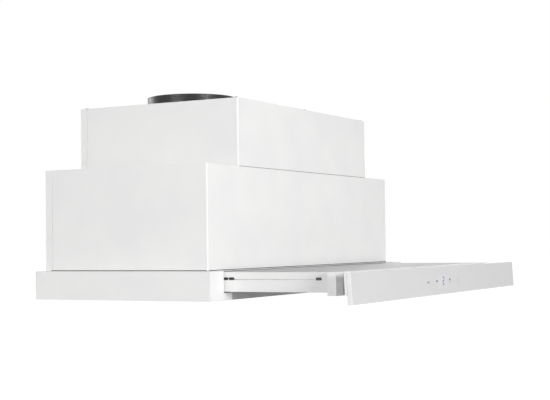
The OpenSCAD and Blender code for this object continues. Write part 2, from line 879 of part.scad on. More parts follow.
module filter_frame_right() {
    color("silver") filter_rim(0.3, filter_x, filter_y0, filter_y1, filter_z0, fixed_tongue_z, 5);
}

module filter_mesh_left() {
    color("lightgray") filter_pad(-filter_x, -0.3, filter_y0, filter_y1, filter_z0);
}

module filter_mesh_right() {
    color("lightgray") filter_pad(0.3, filter_x, filter_y0, filter_y1, filter_z0);
}

module filter_latch_left() {
    color("dimgray") latch(-(filter_x + 0.3) / 2, filter_y0, filter_z0);
}

module filter_latch_right() {
    color("dimgray") latch((filter_x + 0.3) / 2, filter_y0, filter_z0);
}

drawer_filter_y0 = profile_y1 + 0.7;
drawer_filter_y1 = rear_bar_y - 1.2 - 0.6;
drawer_tongue_z = drawer_filter_z0 + 5.6;

module drawer_filter_frame() {
    color("silver") filter_rim(-drawer_filter_x, drawer_filter_x, drawer_filter_y0, drawer_filter_y1,
        drawer_filter_z0, drawer_tongue_z, 5);
}

module drawer_filter_mesh() {
    color("lightgray") filter_pad(-drawer_filter_x, drawer_filter_x, drawer_filter_y0,
        drawer_filter_y1, drawer_filter_z0);
}

module drawer_filter_latch() {
    color("dimgray") latch(0, drawer_filter_y0, drawer_filter_z0);
}

// ---- Telescopic slides, drawn for the left side ----

// A C section that opens to the left, from the web's right face.
module rail(web_x, lip_l, z0, z1, y0, y1) {
    block([web_x - rail_t, y0, z0], [web_x, y1, z1]);
    block([web_x - rail_t - lip_l, y0, z0], [web_x - rail_t / 2, y1, z0 + rail_t]);
    block([web_x - rail_t - lip_l, y0, z1 - rail_t], [web_x - rail_t / 2, y1, z1]);
}

fixed_web = -slide_x + 12;                 // right face of the fixed rail's web
middle_web = fixed_web - rail_t - 1;
lip_l = 6;
middle_l = 170;                            // length of the middle rail
middle_out = 56;                           // how far it stands out of the frame in front

module fixed_rail() {
    y0 = frame_front_y + 2;
    y1 = drawer_rear + travel + 2;
    rail(fixed_web, lip_l, slide_z0, slide_z1, y0, y1);
    block([fixed_web - rail_t, y0, ledge_top], [fixed_web, y1, slide_z0 + rail_t / 2]);
    block([fixed_web - rail_t / 2, y0, ledge_top], [fixed_web + 5, y1, ledge_top + rail_t]);
}

module middle_rail() {
    nest = rail_t + rail_gap;
    y0 = frame_front_y - middle_out;
    rail(middle_web, lip_l, slide_z0 + nest, slide_z1 - nest, y0, y0 + middle_l);
}

module drawer_rail() {
    nest = 2 * (rail_t + rail_gap);
    y0 = profile_y1 + 7;
    web = -slide_x + rail_t;
    difference() {
        union() {
            block([-slide_x, y0, slide_z0 + nest], [web, drawer_rear, slide_z1 - nest]);
            for (z = [slide_z0 + nest, slide_z1 - nest - rail_t]) {
                block([web - rail_t / 2, y0, z], [web + lip_l, drawer_rear, z + rail_t]);
            }
        }
        for (y = stop_y) {
            translate([0, y, clip_z]) rod_x(clip_pin_r + run_gap, -slide_x - cut, web + cut);
        }
    }
}

module fixed_rail_left() {
    color("silver") fixed_rail();
}

module fixed_rail_right() {
    color("silver") on_side(false) fixed_rail();
}

module middle_rail_left() {
    color("silver") middle_rail();
}

module middle_rail_right() {
    color("silver") on_side(false) middle_rail();
}

module drawer_rail_left() {
    color("silver") drawer_rail();
}

module drawer_rail_right() {
    color("silver") on_side(false) drawer_rail();
}

// ---- Drawer ----

// Top plate and both side walls in one bent sheet, with a tab that works the switch.
module drawer_shell() {
    tab_x = 6;
    color(white) difference() {
        union() {
            block([-side_x, profile_y1, drawer_top - sheet_t], [side_x, plate_rear, drawer_top]);
            for (side = [0, 1]) {
                on_side(side == 0) block([-side_x, profile_y1, drawer_floor],
                    [-side_x + sheet_t, drawer_rear, drawer_top]);
            }
            block([-tab_x, plate_rear - cut, drawer_top - sheet_t], [tab_x, drawer_rear, drawer_top]);
            block([-tab_x, drawer_rear - sheet_t, drawer_top - 6], [tab_x, drawer_rear, drawer_top]);
        }
        for (side = [0, 1]) {
            on_side(side == 0) {
                block([-side_x - cut, stop_y[0] + 5, groove_z - groove_t / 2],
                    [-side_x + sheet_t + cut, stop_y[1] - 1, groove_z + groove_t / 2]);
                for (y = stop_y) {
                    translate([0, y, clip_z])
                        rod_x(clip_pin_r + run_gap, -side_x - cut, -side_x + sheet_t + cut);
                }
            }
        }
    }
}

// The oval clips that hold the slides on the drawer's side walls.
module slide_clips() {
    color("black") for (side = [0, 1], y = stop_y) {
        on_side(side == 0) translate([0, y, clip_z]) {
            for (end = [-1, 1]) {
                translate([0, end * (clip_l - clip_h) / 2, 0])
                    rod_x(clip_h / 2, -side_x - clip_out, -side_x);
            }
            block([-side_x - clip_out, -(clip_l - clip_h) / 2, -clip_h / 2],
                [-side_x, (clip_l - clip_h) / 2, clip_h / 2]);
            rod_x(clip_pin_r, -side_x - clip_out / 2, -slide_x + rail_t);
        }
    }
}

// The bar that closes the drawer's front, hollow towards the control housing.
module drawer_front_profile() {
    x = side_x + profile_lap;
    wall = 1.5;
    color(white) difference() {
        block([-x, profile_y0, profile_z0], [x, profile_y1, drawer_top]);
        block([-neck_x + 4, profile_y0 - cut, profile_z0 + wall],
            [neck_x - 4, profile_y1 - wall, drawer_top - wall - 2]);
        block([-bolt_w / 2 - 0.5, profile_y1 - 2 * wall, drawer_filter_z0 + bolt_z - 0.4],
            [bolt_w / 2 + 0.5, profile_y1 + cut, drawer_filter_z0 + bolt_z + bolt_t + 0.4]);
    }
}

// The cross bar behind the drawer's filter, with windows for the air.
module drawer_rear_bar() {
    bar_x = -fixed_web - 4;
    strip_top = drawer_tongue_z - 0.4;
    post_w = 8;
    lip_w = 9;
    bay = (2 * bar_x - post_w) / 4;
    color(white) difference() {
        union() {
            block([-bar_x, rear_bar_y - 1.2, drawer_floor], [bar_x, rear_bar_y, drawer_top - sheet_t]);
            block([-bar_x, rear_bar_y - 0.6, drawer_top - 2 * sheet_t],
                [bar_x, rear_bar_y + lip_w, drawer_top - sheet_t]);
        }
        for (i = [0:3]) {
            block([-bar_x + post_w + i * bay, rear_bar_y - 1.2 - cut, strip_top],
                [-bar_x + (i + 1) * bay, rear_bar_y + cut, drawer_top - 3 * sheet_t]);
        }
    }
}

// ---- Control housing and glass front ----

// Children placed in the leaning front: the carrier's back is at y = 0 and its top edge at z = 0.
module in_front() {
    translate([0, neck_y0, drawer_top]) rotate([-glass_lean, 0, 0]) children();
}

// The housing's side view, whose front edge follows the leaning carrier.
module neck_plan(inset) {
    drop = neck_top - profile_z0 - 2 * inset;
    top_lean = (drawer_top - neck_top + inset) * tan(glass_lean);
    polygon([[profile_y0, neck_top - inset], [profile_y0, neck_top - inset - drop],
        [neck_y0 - top_lean - drop * tan(glass_lean), neck_top - inset - drop],
        [neck_y0 - top_lean, neck_top - inset]]);
}

module control_housing() {
    wall = 2;
    color("gray") difference() {
        translate([-neck_x, 0, 0]) rotate([90, 0, 90]) linear_extrude(height = 2 * neck_x) neck_plan(0);
        translate([-neck_x + wall, -wall - 0.5, 0]) rotate([90, 0, 90])
            linear_extrude(height = 2 * (neck_x - wall)) neck_plan(wall);
    }
}

module glass_carrier() {
    color(white) in_front() difference() {
        block([-half_w, -carrier_t, -carrier_h], [half_w, 0, 0]);
        block([display_x - window_w / 2, -carrier_t - cut, window_z - window_h],
            [display_x + window_w / 2, cut, window_z]);
    }
}

module touch_board() {
    gap = 0.5;
    color("darkgreen") in_front() {
        block([display_x - window_w / 2 + gap, -carrier_t, window_z - window_h + gap],
            [display_x + window_w / 2 - gap, -carrier_t + 1.6, window_z - gap]);
        block([display_x - 12, -carrier_t + 1.6, window_z - window_h + 3],
            [display_x + 12, -carrier_t + 6, window_z - 3]);
    }
}

module front_glass() {
    color("aliceblue") in_front()
        block([-half_w, -carrier_t - glass_t, -glass_h], [half_w, -carrier_t, 0]);
}

middle_casing();
middle_back_panel();
step_plate();
upper_casing();
upper_back_panel();
top_plate();
duct_collar();
casing_screws();
flap_axle();
flap_front();
flap_rear();
scroll_shell_left();
scroll_shell_right();
inlet_ring_left();
inlet_ring_right();
impeller();
motor_shaft();
motor_body();
motor_bracket();
motor_capacitor();
electronics_box();
electronics_lid();
power_board();
terminal_block();
cable_gland();
drawer_switch();
switch_button();
frame_side_left();
frame_side_right();
frame_front_rail();
frame_rear_rail();
frame_deck();
lamp_panel();
lamp_bezel_left();
lamp_bezel_right();
lamp_lens_left();
lamp_lens_right();
filter_frame_left();
filter_frame_right();
filter_mesh_left();
filter_mesh_right();
filter_latch_left();
filter_latch_right();
fixed_rail_left();
fixed_rail_right();
middle_rail_left();
middle_rail_right();
drawer_rail_left();
drawer_rail_right();
drawer_shell();
slide_clips();
drawer_front_profile();
drawer_rear_bar();
drawer_filter_frame();
drawer_filter_mesh();
drawer_filter_latch();
control_housing();
touch_board();
glass_carrier();
front_glass();
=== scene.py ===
"""Pull out range hood: its finishes, the pieces that need more form than the frame gives, and its studio.

Lengths in the pieces' functions are millimetres in the row's frame: X to the right along the front, -Y to the
front, Z up. mm() turns them into Blender's metres.
"""
import math

import bmesh
import bpy
from mathutils import Matrix, Vector

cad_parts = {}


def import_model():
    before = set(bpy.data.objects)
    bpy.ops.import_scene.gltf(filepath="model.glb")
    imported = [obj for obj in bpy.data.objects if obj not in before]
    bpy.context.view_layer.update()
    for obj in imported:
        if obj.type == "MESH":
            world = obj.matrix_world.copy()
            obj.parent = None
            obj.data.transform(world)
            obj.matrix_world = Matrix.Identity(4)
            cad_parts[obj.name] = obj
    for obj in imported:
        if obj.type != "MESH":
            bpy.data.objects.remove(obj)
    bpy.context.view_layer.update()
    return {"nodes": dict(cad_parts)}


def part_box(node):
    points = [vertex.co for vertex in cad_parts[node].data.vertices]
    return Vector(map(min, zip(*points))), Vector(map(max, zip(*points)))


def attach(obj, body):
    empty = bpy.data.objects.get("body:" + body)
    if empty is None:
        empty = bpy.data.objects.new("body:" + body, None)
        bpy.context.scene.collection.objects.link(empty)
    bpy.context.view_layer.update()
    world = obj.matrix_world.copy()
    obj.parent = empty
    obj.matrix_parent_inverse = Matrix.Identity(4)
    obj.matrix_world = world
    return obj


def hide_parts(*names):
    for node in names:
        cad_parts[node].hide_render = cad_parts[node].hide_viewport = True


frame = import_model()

# The photograph's camera, found from the straight edges of the hood.
CAMERA_AT = (-1564.9, -929.6, 35.5)
CAMERA_YAW, CAMERA_PITCH, CAMERA_ROLL = 61.29, 1.96, -0.76
CAMERA_LENS = 79.57

FLOOR_Z = -420.0
WORLD_LIGHT = 0.34

# Places shared by several pieces.
COLLAR_AT = (-110.0, 0.0, 225.0)
FRONT_HINGE = Vector((0.0, -324.9, -1.6))
GLASS_LEAN = math.radians(3.0)
# The glass's face and the signs' middle height, in the leaning front's own frame.
GLASS_FACE = -9.0
GLASS_BACK = -3.0
GLASS_HALF_WIDTH = 299.0
GLASS_HEIGHT = 37.6
SIGN_Z = -19.0
# Half the width and the depth of the space that a filter's mesh leaves for its latch.
LATCH_TRAY = 22.5
LATCH_DEPTH = 23.5
# Expanded mesh: cell width and half height, then strand width and thickness.
COARSE_CELL, COARSE_STRAND = (14.0, 7.0), (1.4, 0.45)
FINE_CELL, FINE_STRAND = (9.0, 4.5), (1.0, 0.35)
# Doubles closer than this are one vertex, in metres. A turned ring on its axis is wider, so it has its own.
MERGE = 1e-6
MERGE_TURNED = 5e-6
AXIS_RADIUS = 0.001


def mm(*place):
    """Millimetres to Blender's metres, for one number or a place."""
    if len(place) == 1:
        return place[0] * 0.001
    return Vector(place) * 0.001


def linear(hex_code):
    """An sRGB hex colour as the linear colour that shaders take."""
    parts = [int(hex_code[i:i + 2], 16) / 255 for i in (1, 3, 5)]
    return tuple(c / 12.92 if c <= 0.04045 else ((c + 0.055) / 1.055) ** 2.4 for c in parts) + (1.0,)


# ---- Materials ----

def add(tree, kind, inputs=None, **settings):
    """Adds a node with its settings, and sets or links its inputs."""
    made = tree.nodes.new(kind)
    for name, value in settings.items():
        setattr(made, name, value)
    for key, value in (inputs or {}).items():
        if isinstance(value, bpy.types.NodeSocket):
            tree.links.new(value, made.inputs[key])
        else:
            made.inputs[key].default_value = value
    return made


def begin_material(name, **skin_values):
    """A material with one Principled skin, and object coordinates in millimetres for its patterns."""
    material = bpy.data.materials.new(name)
    material.use_nodes = True
    tree = material.node_tree
    tree.nodes.clear()
    skin = add(tree, "ShaderNodeBsdfPrincipled",
               {key.replace("_", " "): value for key, value in skin_values.items()})
    add(tree, "ShaderNodeOutputMaterial", {"Surface": skin.outputs["BSDF"]})
    place = add(tree, "ShaderNodeTexCoord").outputs["Object"]
    grid = add(tree, "ShaderNodeMapping", {"Vector": place, "Scale": (1000, 1000, 1000)}).outputs["Vector"]
    return material, tree, skin, grid


def noise(tree, grid, size, detail=2.0, rough=0.5):
    """A noise whose grains are about size millimetres across."""
    return add(tree, "ShaderNodeTexNoise",
               {"Vector": grid, "Scale": 1 / size, "Detail": detail, "Roughness": rough}).outputs["Fac"]


def spread(tree, value, low, high, start=0.3, end=0.7):
    """A 0 to 1 pattern spread over a range of numbers."""
    return add(tree, "ShaderNodeMapRange", {"Value": value, "From Min": start, "From Max": end,
                                            "To Min": low, "To Max": high}).outputs["Result"]


def two_tones(tree, skin, pattern, dark, light, start=0.3, end=0.7):
    """Gives the skin a colour between two hex tones, by a pattern."""
    ramp = add(tree, "ShaderNodeValToRGB", {"Fac": pattern})
    ramp.color_ramp.elements[0].position = start
    ramp.color_ramp.elements[1].position = end
    ramp.color_ramp.elements[0].color = linear(dark)
    ramp.color_ramp.elements[1].color = linear(light)
    tree.links.new(ramp.outputs["Color"], skin.inputs["Base Color"])
    return ramp


def relief(tree, skin, height, depth, edge=None):
    """Bump of the given depth in millimetres, over edges rounded by a radius where one is given."""
    bump = add(tree, "ShaderNodeBump", {"Height": height, "Distance": mm(depth), "Strength": 1.0})
    if edge:
        rounded = add(tree, "ShaderNodeBevel", {"Radius": mm(edge)}, samples=4)
        tree.links.new(rounded.outputs["Normal"], bump.inputs["Normal"])
    tree.links.new(bump.outputs["Normal"], skin.inputs["Normal"])


def powder_coated_steel(name="powder_coated_steel", dark="#ECECEC", light="#F0F0EF"):
    """Sheet steel with a white polyester powder coat, baked: an even semi-gloss with a faint orange peel."""
    material, tree, skin, grid = begin_material(name, Specular_IOR_Level=0.04)
    two_tones(tree, skin, noise(tree, grid, 60), dark, light)
    tree.links.new(spread(tree, noise(tree, grid, 25), 0.5, 0.58), skin.inputs["Roughness"])
    # Real orange peel is about 1.5 mm across. It is drawn at 4 mm, or the render wouldn't show it.
    relief(tree, skin, noise(tree, grid, 4, 1.0), 0.02, edge=0.5)
    return material


def powder_coat_with_painted_top_shade():
    """The drawer's white coat, with its up-facing faces turned grey: painted shade for the casing's shadow on the
    drawer's top.
    """
    material, tree, skin, grid = begin_material("powder_coat_with_painted_top_shade", Specular_IOR_Level=0.04)
    ramp = two_tones(tree, skin, noise(tree, grid, 60), "#ECECEC", "#F0F0EF")
    facing = add(tree, "ShaderNodeSeparateXYZ",
                 {"Vector": add(tree, "ShaderNodeNewGeometry").outputs["Normal"]}).outputs["Z"]
    top_shade = add(tree, "ShaderNodeMix", {"Factor": spread(tree, facing, 0.0, 1.0, 0.7, 0.95)}, data_type="RGBA")
    tree.links.new(ramp.outputs["Color"], top_shade.inputs[6])
    # Painted shade: the grey that up-facing faces turn to, for the casing's shadow on the drawer's top.
    top_shade.inputs[7].default_value = linear("#D2D2D2")
    tree.links.new(top_shade.outputs[2], skin.inputs["Base Color"])
    tree.links.new(spread(tree, noise(tree, grid, 25), 0.5, 0.58), skin.inputs["Roughness"])
    relief(tree, skin, noise(tree, grid, 4, 1.0), 0.02, edge=0.5)
    return material


def grey_painted_steel():
    """Sheet steel with a grey stoved paint: satin, so it stays dark beside the white pieces."""
    material, tree, skin, grid = begin_material("grey_painted_steel", Specular_IOR_Level=0.35)
    two_tones(tree, skin, noise(tree, grid, 30, 4.0), "#A6A6A8", "#B2B2B4")
    tree.links.new(spread(tree, noise(tree, grid, 12), 0.42, 0.55), skin.inputs["Roughness"])
    relief(tree, skin, noise(tree, grid, 3, 1.0), 0.02, edge=0.4)
    return material


def galvanised_steel():
    """Hot-dip galvanised sheet: flat crystals a few millimetres across that each catch the light differently."""
    material, tree, skin, grid = begin_material("galvanised_steel", Metallic=1.0)
    crystals = add(tree, "ShaderNodeTexVoronoi", {"Vector": grid, "Scale": 1 / 9.0, "Randomness": 1.0})
    tone = add(tree, "ShaderNodeSeparateColor", {"Color": crystals.outputs["Color"]}).outputs["Red"]
    two_tones(tree, skin, tone, "#A9ADB0", "#C3C6C8", 0.0, 1.0)
    tree.links.new(spread(tree, tone, 0.3, 0.5, 0.0, 1.0), skin.inputs["Roughness"])
    relief(tree, skin, noise(tree, grid, 2.5, 3.0), 0.01, edge=0.3)
    return material


def zinc_plated_steel():
    """Bright zinc plating on turned or pressed steel: a grey metal with fine marks."""
    material, tree, skin, grid = begin_material("zinc_plated_steel", Metallic=1.0)
    two_tones(tree, skin, noise(tree, grid, 5, 4.0), "#969696", "#ABABAB")
    tree.links.new(spread(tree, noise(tree, grid, 1.5, 3.0), 0.24, 0.42), skin.inputs["Roughness"])
    relief(tree, skin, noise(tree, grid, 0.8, 2.0), 0.01, edge=0.2)
    return material


def moulded_plastic(name, dark, light, rough=(0.42, 0.55), grain=0.9, depth=0.03, edge=0.4):
    """Injection-moulded ABS: a matt skin with the fine spark-eroded grain of its mould."""
    material, tree, skin, grid = begin_material(name, Specular_IOR_Level=0.45, IOR=1.52)
    two_tones(tree, skin, noise(tree, grid, 14, 3.0), dark, light)
    tree.links.new(spread(tree, noise(tree, grid, grain * 3), *rough), skin.inputs["Roughness"])
    relief(tree, skin, noise(tree, grid, grain, 2.0), depth, edge=edge)
    return material


def shadow_strip_foam():
    """Closed-cell foam tape: dark grey and matt, with cells under a millimetre. Its dark grey is painted shade: it
    draws the shadow gaps at the casings' edges.
    """
    material, tree, skin, grid = begin_material("shadow_strip_foam", Specular_IOR_Level=0.1)
    two_tones(tree, skin, noise(tree, grid, 0.8, 3.0), "#3A3A3C", "#4A4A4C")
    tree.links.new(spread(tree, noise(tree, grid, 2.0), 0.8, 0.95), skin.inputs["Roughness"])
    relief(tree, skin, noise(tree, grid, 0.8, 2.0), 0.1)
    return material


def back_painted_glass():
    """Clear float glass painted white on its back: a deep gloss over an even grey-white."""
    material, tree, skin, grid = begin_material(
        "back_painted_glass", Specular_IOR_Level=0.5, IOR=1.52, Roughness=0.05)
    two_tones(tree, skin, noise(tree, grid, 90), "#CACACA", "#CDCDCD")
    relief(tree, skin, noise(tree, grid, 40, 0.0), 0.01)
    # The digit's lamp glows through the paint in an oval about 50 mm wide and 20 mm tall round the signs.
    oval = add(tree, "ShaderNodeMapping", {"Vector": grid, "Location": (8 / 26, 0, 20.6 / 10),
                                           "Scale": (1 / 26, 0, 1 / 10)}).outputs["Vector"]
    away = add(tree, "ShaderNodeVectorMath", {0: oval}, operation="LENGTH").outputs["Value"]
    skin.inputs["Emission Color"].default_value = linear("#B9B4F0")
    tree.links.new(spread(tree, away, 0.07, 0.0, 0.2, 1.2), skin.inputs["Emission Strength"])
    return material


def ground_glass_edge():
    """The ground and polished edge of float glass: paler than its face, with the light caught inside."""
    material, tree, skin, grid = begin_material(
        "ground_glass_edge", Specular_IOR_Level=0.5, IOR=1.52, Coat_Weight=0.6, Coat_Roughness=0.1)
    two_tones(tree, skin, noise(tree, grid, 3, 3.0), "#DDDDDD", "#E6E6E6")
    tree.links.new(spread(tree, noise(tree, grid, 0.7), 0.15, 0.3), skin.inputs["Roughness"])
    return material


def glass_paint_line():
    """The dark line where the paint ends at the glass's back edge."""
    material, tree, skin, grid = begin_material("glass_paint_line", Roughness=0.5)
    two_tones(tree, skin, noise(tree, grid, 4), "#A7A9A9", "#B6B8B8")
    return material


def lit_sign(name, colour, strength):
    """A sign lit from behind through the glass's paint: an even cool light."""
    material, tree, skin, grid = begin_material(name, Roughness=0.3, Emission_Strength=strength)
    two_tones(tree, skin, noise(tree, grid, 2), colour, colour)
    skin.inputs["Emission Color"].default_value = linear(colour)
    return material


def rolled_aluminium():
    """Rolled aluminium strip, folded into the filters' rims: long faint lines along the rolling direction."""
    material, tree, skin, grid = begin_material("rolled_aluminium", Metallic=1.0)
    lines = add(tree, "ShaderNodeMapping", {"Vector": grid, "Scale": (0.05, 1, 1)}).outputs["Vector"]
    two_tones(tree, skin, noise(tree, lines, 0.9, 3.0), "#C4C6C8", "#D9DADB")
    tree.links.new(spread(tree, noise(tree, lines, 0.7, 2.0), 0.24, 0.4), skin.inputs["Roughness"])
    relief(tree, skin, noise(tree, lines, 0.8, 2.0), 0.01, edge=0.3)
    return material


def expanded_aluminium():
    """Slit and stretched aluminium foil: bright strands with dull torn edges."""
    material, tree, skin, grid = begin_material("expanded_aluminium", Metallic=1.0)
    two_tones(tree, skin, noise(tree, grid, 1.5, 3.0), "#B9BBBD", "#D6D7D8")
    tree.links.new(spread(tree, noise(tree, grid, 1.0, 2.0), 0.28, 0.5), skin.inputs["Roughness"])
    relief(tree, skin, noise(tree, grid, 0.6, 2.0), 0.02)
    return material


def die_cast_aluminium():
    """Die-cast aluminium, shot-blasted: a dull grey with a fine sandy grain."""
    material, tree, skin, grid = begin_material("die_cast_aluminium", Metallic=1.0)
    two_tones(tree, skin, noise(tree, grid, 8, 4.0), "#8F9294", "#A5A7A9")
    tree.links.new(spread(tree, noise(tree, grid, 1.2, 2.0), 0.45, 0.62), skin.inputs["Roughness"])
    relief(tree, skin, noise(tree, grid, 0.7, 2.0), 0.05, edge=0.6)
    return material


def chromed_steel():
    """Nickel and chrome plating over pressed steel: a mirror with the faintest waviness."""
    material, tree, skin, grid = begin_material("chromed_steel", Metallic=1.0)
    two_tones(tree, skin, noise(tree, grid, 20), "#D2D3D5", "#DCDDDE")
    tree.links.new(spread(tree, noise(tree, grid, 6), 0.07, 0.13), skin.inputs["Roughness"])
    relief(tree, skin, noise(tree, grid, 10, 0.0), 0.01)
    return material


def frosted_polycarbonate():
    """Moulded polycarbonate lens, etched inside: milky, with the lamp's dots just showing."""
    material, tree, skin, grid = begin_material(
        "frosted_polycarbonate", IOR=1.58, Coat_Weight=0.5, Coat_Roughness=0.08, Subsurface_Weight=0.15)
    dots = add(tree, "ShaderNodeTexVoronoi", {"Vector": grid, "Scale": 1 / 7.0, "Randomness": 0.0})
    two_tones(tree, skin, dots.outputs["Distance"], "#F6F3D8", "#ECEBE6", 0.25, 0.5)
    tree.links.new(spread(tree, noise(tree, grid, 1.5), 0.3, 0.45), skin.inputs["Roughness"])
    relief(tree, skin, dots.outputs["Distance"], 0.15)
    return material


def soldered_board():
    """Glass-epoxy board under green solder mask: tracks show as a slightly lighter green."""
    material, tree, skin, grid = begin_material("soldered_board", Specular_IOR_Level=0.5)
    tracks = add(tree, "ShaderNodeTexBrick", {"Vector": grid, "Scale": 1 / 5.0, "Mortar Size": 0.03})
    two_tones(tree, skin, tracks.outputs["Fac"], "#1B4A2A", "#2E6B3E", 0.2, 0.8)
    tree.links.new(spread(tree, noise(tree, grid, 3), 0.25, 0.4), skin.inputs["Roughness"])
    relief(tree, skin, tracks.outputs["Fac"], 0.03)
    return material


WHITE = powder_coated_steel()
# The profile's white is brighter than the casings': painted light that makes up for the shade the glass casts on the
# profile's ends.
WHITE_PROFILE_LIFTED = powder_coated_steel("powder_coated_aluminium", "#F3F3F3", "#F6F6F5")
WHITE_DRAWER = powder_coat_with_painted_top_shade()
GREY_STEEL = grey_painted_steel()
GALVANISED = galvanised_steel()
ZINC = zinc_plated_steel()
BLACK_ABS = moulded_plastic("moulded_black_abs", "#1D1D1F", "#29292B", rough=(0.32, 0.46))
# The control housing's white ABS is darkened to a grey: painted shade for its recess behind the glass's overhang.
WHITE_ABS_SHADED = moulded_plastic("moulded_white_abs_with_painted_shade", "#BDBDBE", "#C6C6C7")
GREY_ABS = moulded_plastic("moulded_grey_abs", "#87878A", "#949497")
PALE_GREY_PP = moulded_plastic("moulded_grey_polypropylene", "#A6A8A9", "#B4B6B7", grain=1.6)
IVORY_PA = moulded_plastic("moulded_ivory_polyamide", "#DDD6C2", "#E8E2D0")
RED_PA = moulded_plastic("moulded_red_polyamide", "#A62A22", "#B7362C")
CAN_WHITE = moulded_plastic("moulded_white_polypropylene", "#E6E6E2", "#EEEEEA", grain=1.4)
SHADOW_FOAM = shadow_strip_foam()
GLASS = back_painted_glass()
GLASS_EDGE = ground_glass_edge()
PAINT_LINE = glass_paint_line()
ALUMINIUM = rolled_aluminium()
STRANDS = expanded_aluminium()
CAST = die_cast_aluminium()
CHROME = chromed_steel()
LENS = frosted_polycarbonate()
BOARD = soldered_board()
SIGN_VIOLET = lit_sign("lit_sign_violet", "#5E5C84", 0.03)
SIGN_GREY = lit_sign("printed_sign_grey", "#77777C", 0.0)
SIGN_FAINT = lit_sign("printed_sign_faint", "#A5A5A8", 0.0)

FINISHES = {
    WHITE: ["middle_casing", "middle_back_panel", "step_plate", "upper_casing", "upper_back_panel", "top_plate",
            "frame_side_left", "frame_side_right", "frame_rear_rail", "frame_deck", "lamp_panel",
            "drawer_rear_bar", "glass_carrier"],
    WHITE_DRAWER: ["drawer_shell"],
    WHITE_PROFILE_LIFTED: ["drawer_front_profile"],
    GREY_STEEL: ["frame_front_rail"],
    WHITE_ABS_SHADED: ["control_housing"],
    GALVANISED: ["motor_bracket"],
    ZINC: ["fixed_rail_left", "fixed_rail_right", "middle_rail_left", "middle_rail_right", "drawer_rail_left",
           "drawer_rail_right", "casing_screws", "flap_axle", "motor_shaft"],
    BLACK_ABS: ["duct_collar", "cable_gland", "drawer_switch", "electronics_box", "electronics_lid",
                "slide_clips", "filter_latch_left", "filter_latch_right", "drawer_filter_latch", "impeller"],
    GREY_ABS: ["flap_front", "flap_rear"],
    PALE_GREY_PP: ["scroll_shell_left", "scroll_shell_right", "inlet_ring_left", "inlet_ring_right"],
    CAST: ["motor_body"],
    CAN_WHITE: ["motor_capacitor"],
    BOARD: ["power_board", "touch_board"],
    IVORY_PA: ["terminal_block"],
    RED_PA: ["switch_button"],
    CHROME: ["lamp_bezel_left", "lamp_bezel_right"],
    LENS: ["lamp_lens_left", "lamp_lens_right"],
    ALUMINIUM: ["filter_frame_left", "filter_frame_right", "drawer_filter_frame"],
    STRANDS: ["filter_mesh_left", "filter_mesh_right", "drawer_filter_mesh"],
    GLASS: ["front_glass"],
}


def finish_nodes():
    """Gives every carried-over node its material."""
    for material, names in FINISHES.items():
        for name in names:
            mesh = frame["nodes"][name].data
            mesh.materials.clear()
            mesh.materials.append(material)


# ---- Modelling helpers ----

def open_piece(piece):
    """Edit mode on one piece, with nothing selected."""
    bpy.ops.object.select_all(action="DESELECT")
    bpy.context.view_layer.objects.active = piece
    piece.select_set(True)
    bpy.ops.object.mode_set(mode="EDIT")
    bpy.ops.mesh.select_mode(type="FACE")
    bpy.ops.mesh.select_all(action="DESELECT")


def close_piece(merge=MERGE):
    """Back to object mode, with doubles merged and faces pointing outwards."""
    bpy.ops.mesh.select_all(action="SELECT")
    bpy.ops.mesh.remove_doubles(threshold=merge)
    bpy.ops.mesh.normals_make_consistent(inside=False)
    bpy.ops.object.mode_set(mode="OBJECT")


def pick_faces(piece, test):
    """Selects the open piece's faces for which test(centre in mm, normal) holds."""
    bpy.ops.mesh.select_all(action="DESELECT")
    mesh = bmesh.from_edit_mesh(piece.data)
    for face in mesh.faces:
        if test(face.calc_center_median() * 1000, face.normal):
            face.select_set(True)
    bmesh.update_edit_mesh(piece.data)


def pick_edges(piece, test):
    """Selects the open piece's edges for which test(middle in mm, direction) holds."""
    bpy.ops.mesh.select_mode(type="EDGE")
    bpy.ops.mesh.select_all(action="DESELECT")
    mesh = bmesh.from_edit_mesh(piece.data)
    for edge in mesh.edges:
        a, b = (v.co for v in edge.verts)
        if test((a + b) * 500, (b - a).normalized()):
            edge.select_set(True)
    bmesh.update_edit_mesh(piece.data)


def block(name, low, high, bevel=0.0, segments=2):
    """A block between two corners, its edges rounded by the bevel's width."""
    low, high = Vector(low), Vector(high)
    bpy.ops.object.select_all(action="DESELECT")
    bpy.ops.mesh.primitive_cube_add(size=1, location=mm(*((low + high) / 2)))
    piece = bpy.context.active_object
    piece.name = piece.data.name = name
    piece.scale = mm(*(high - low))
    bpy.ops.object.transform_apply(location=True, rotation=False, scale=True)
    if bevel:
        open_piece(piece)
        bpy.ops.mesh.select_all(action="SELECT")
        bpy.ops.mesh.bevel(offset=mm(bevel), segments=segments, affect="EDGES")
        close_piece()
    return piece


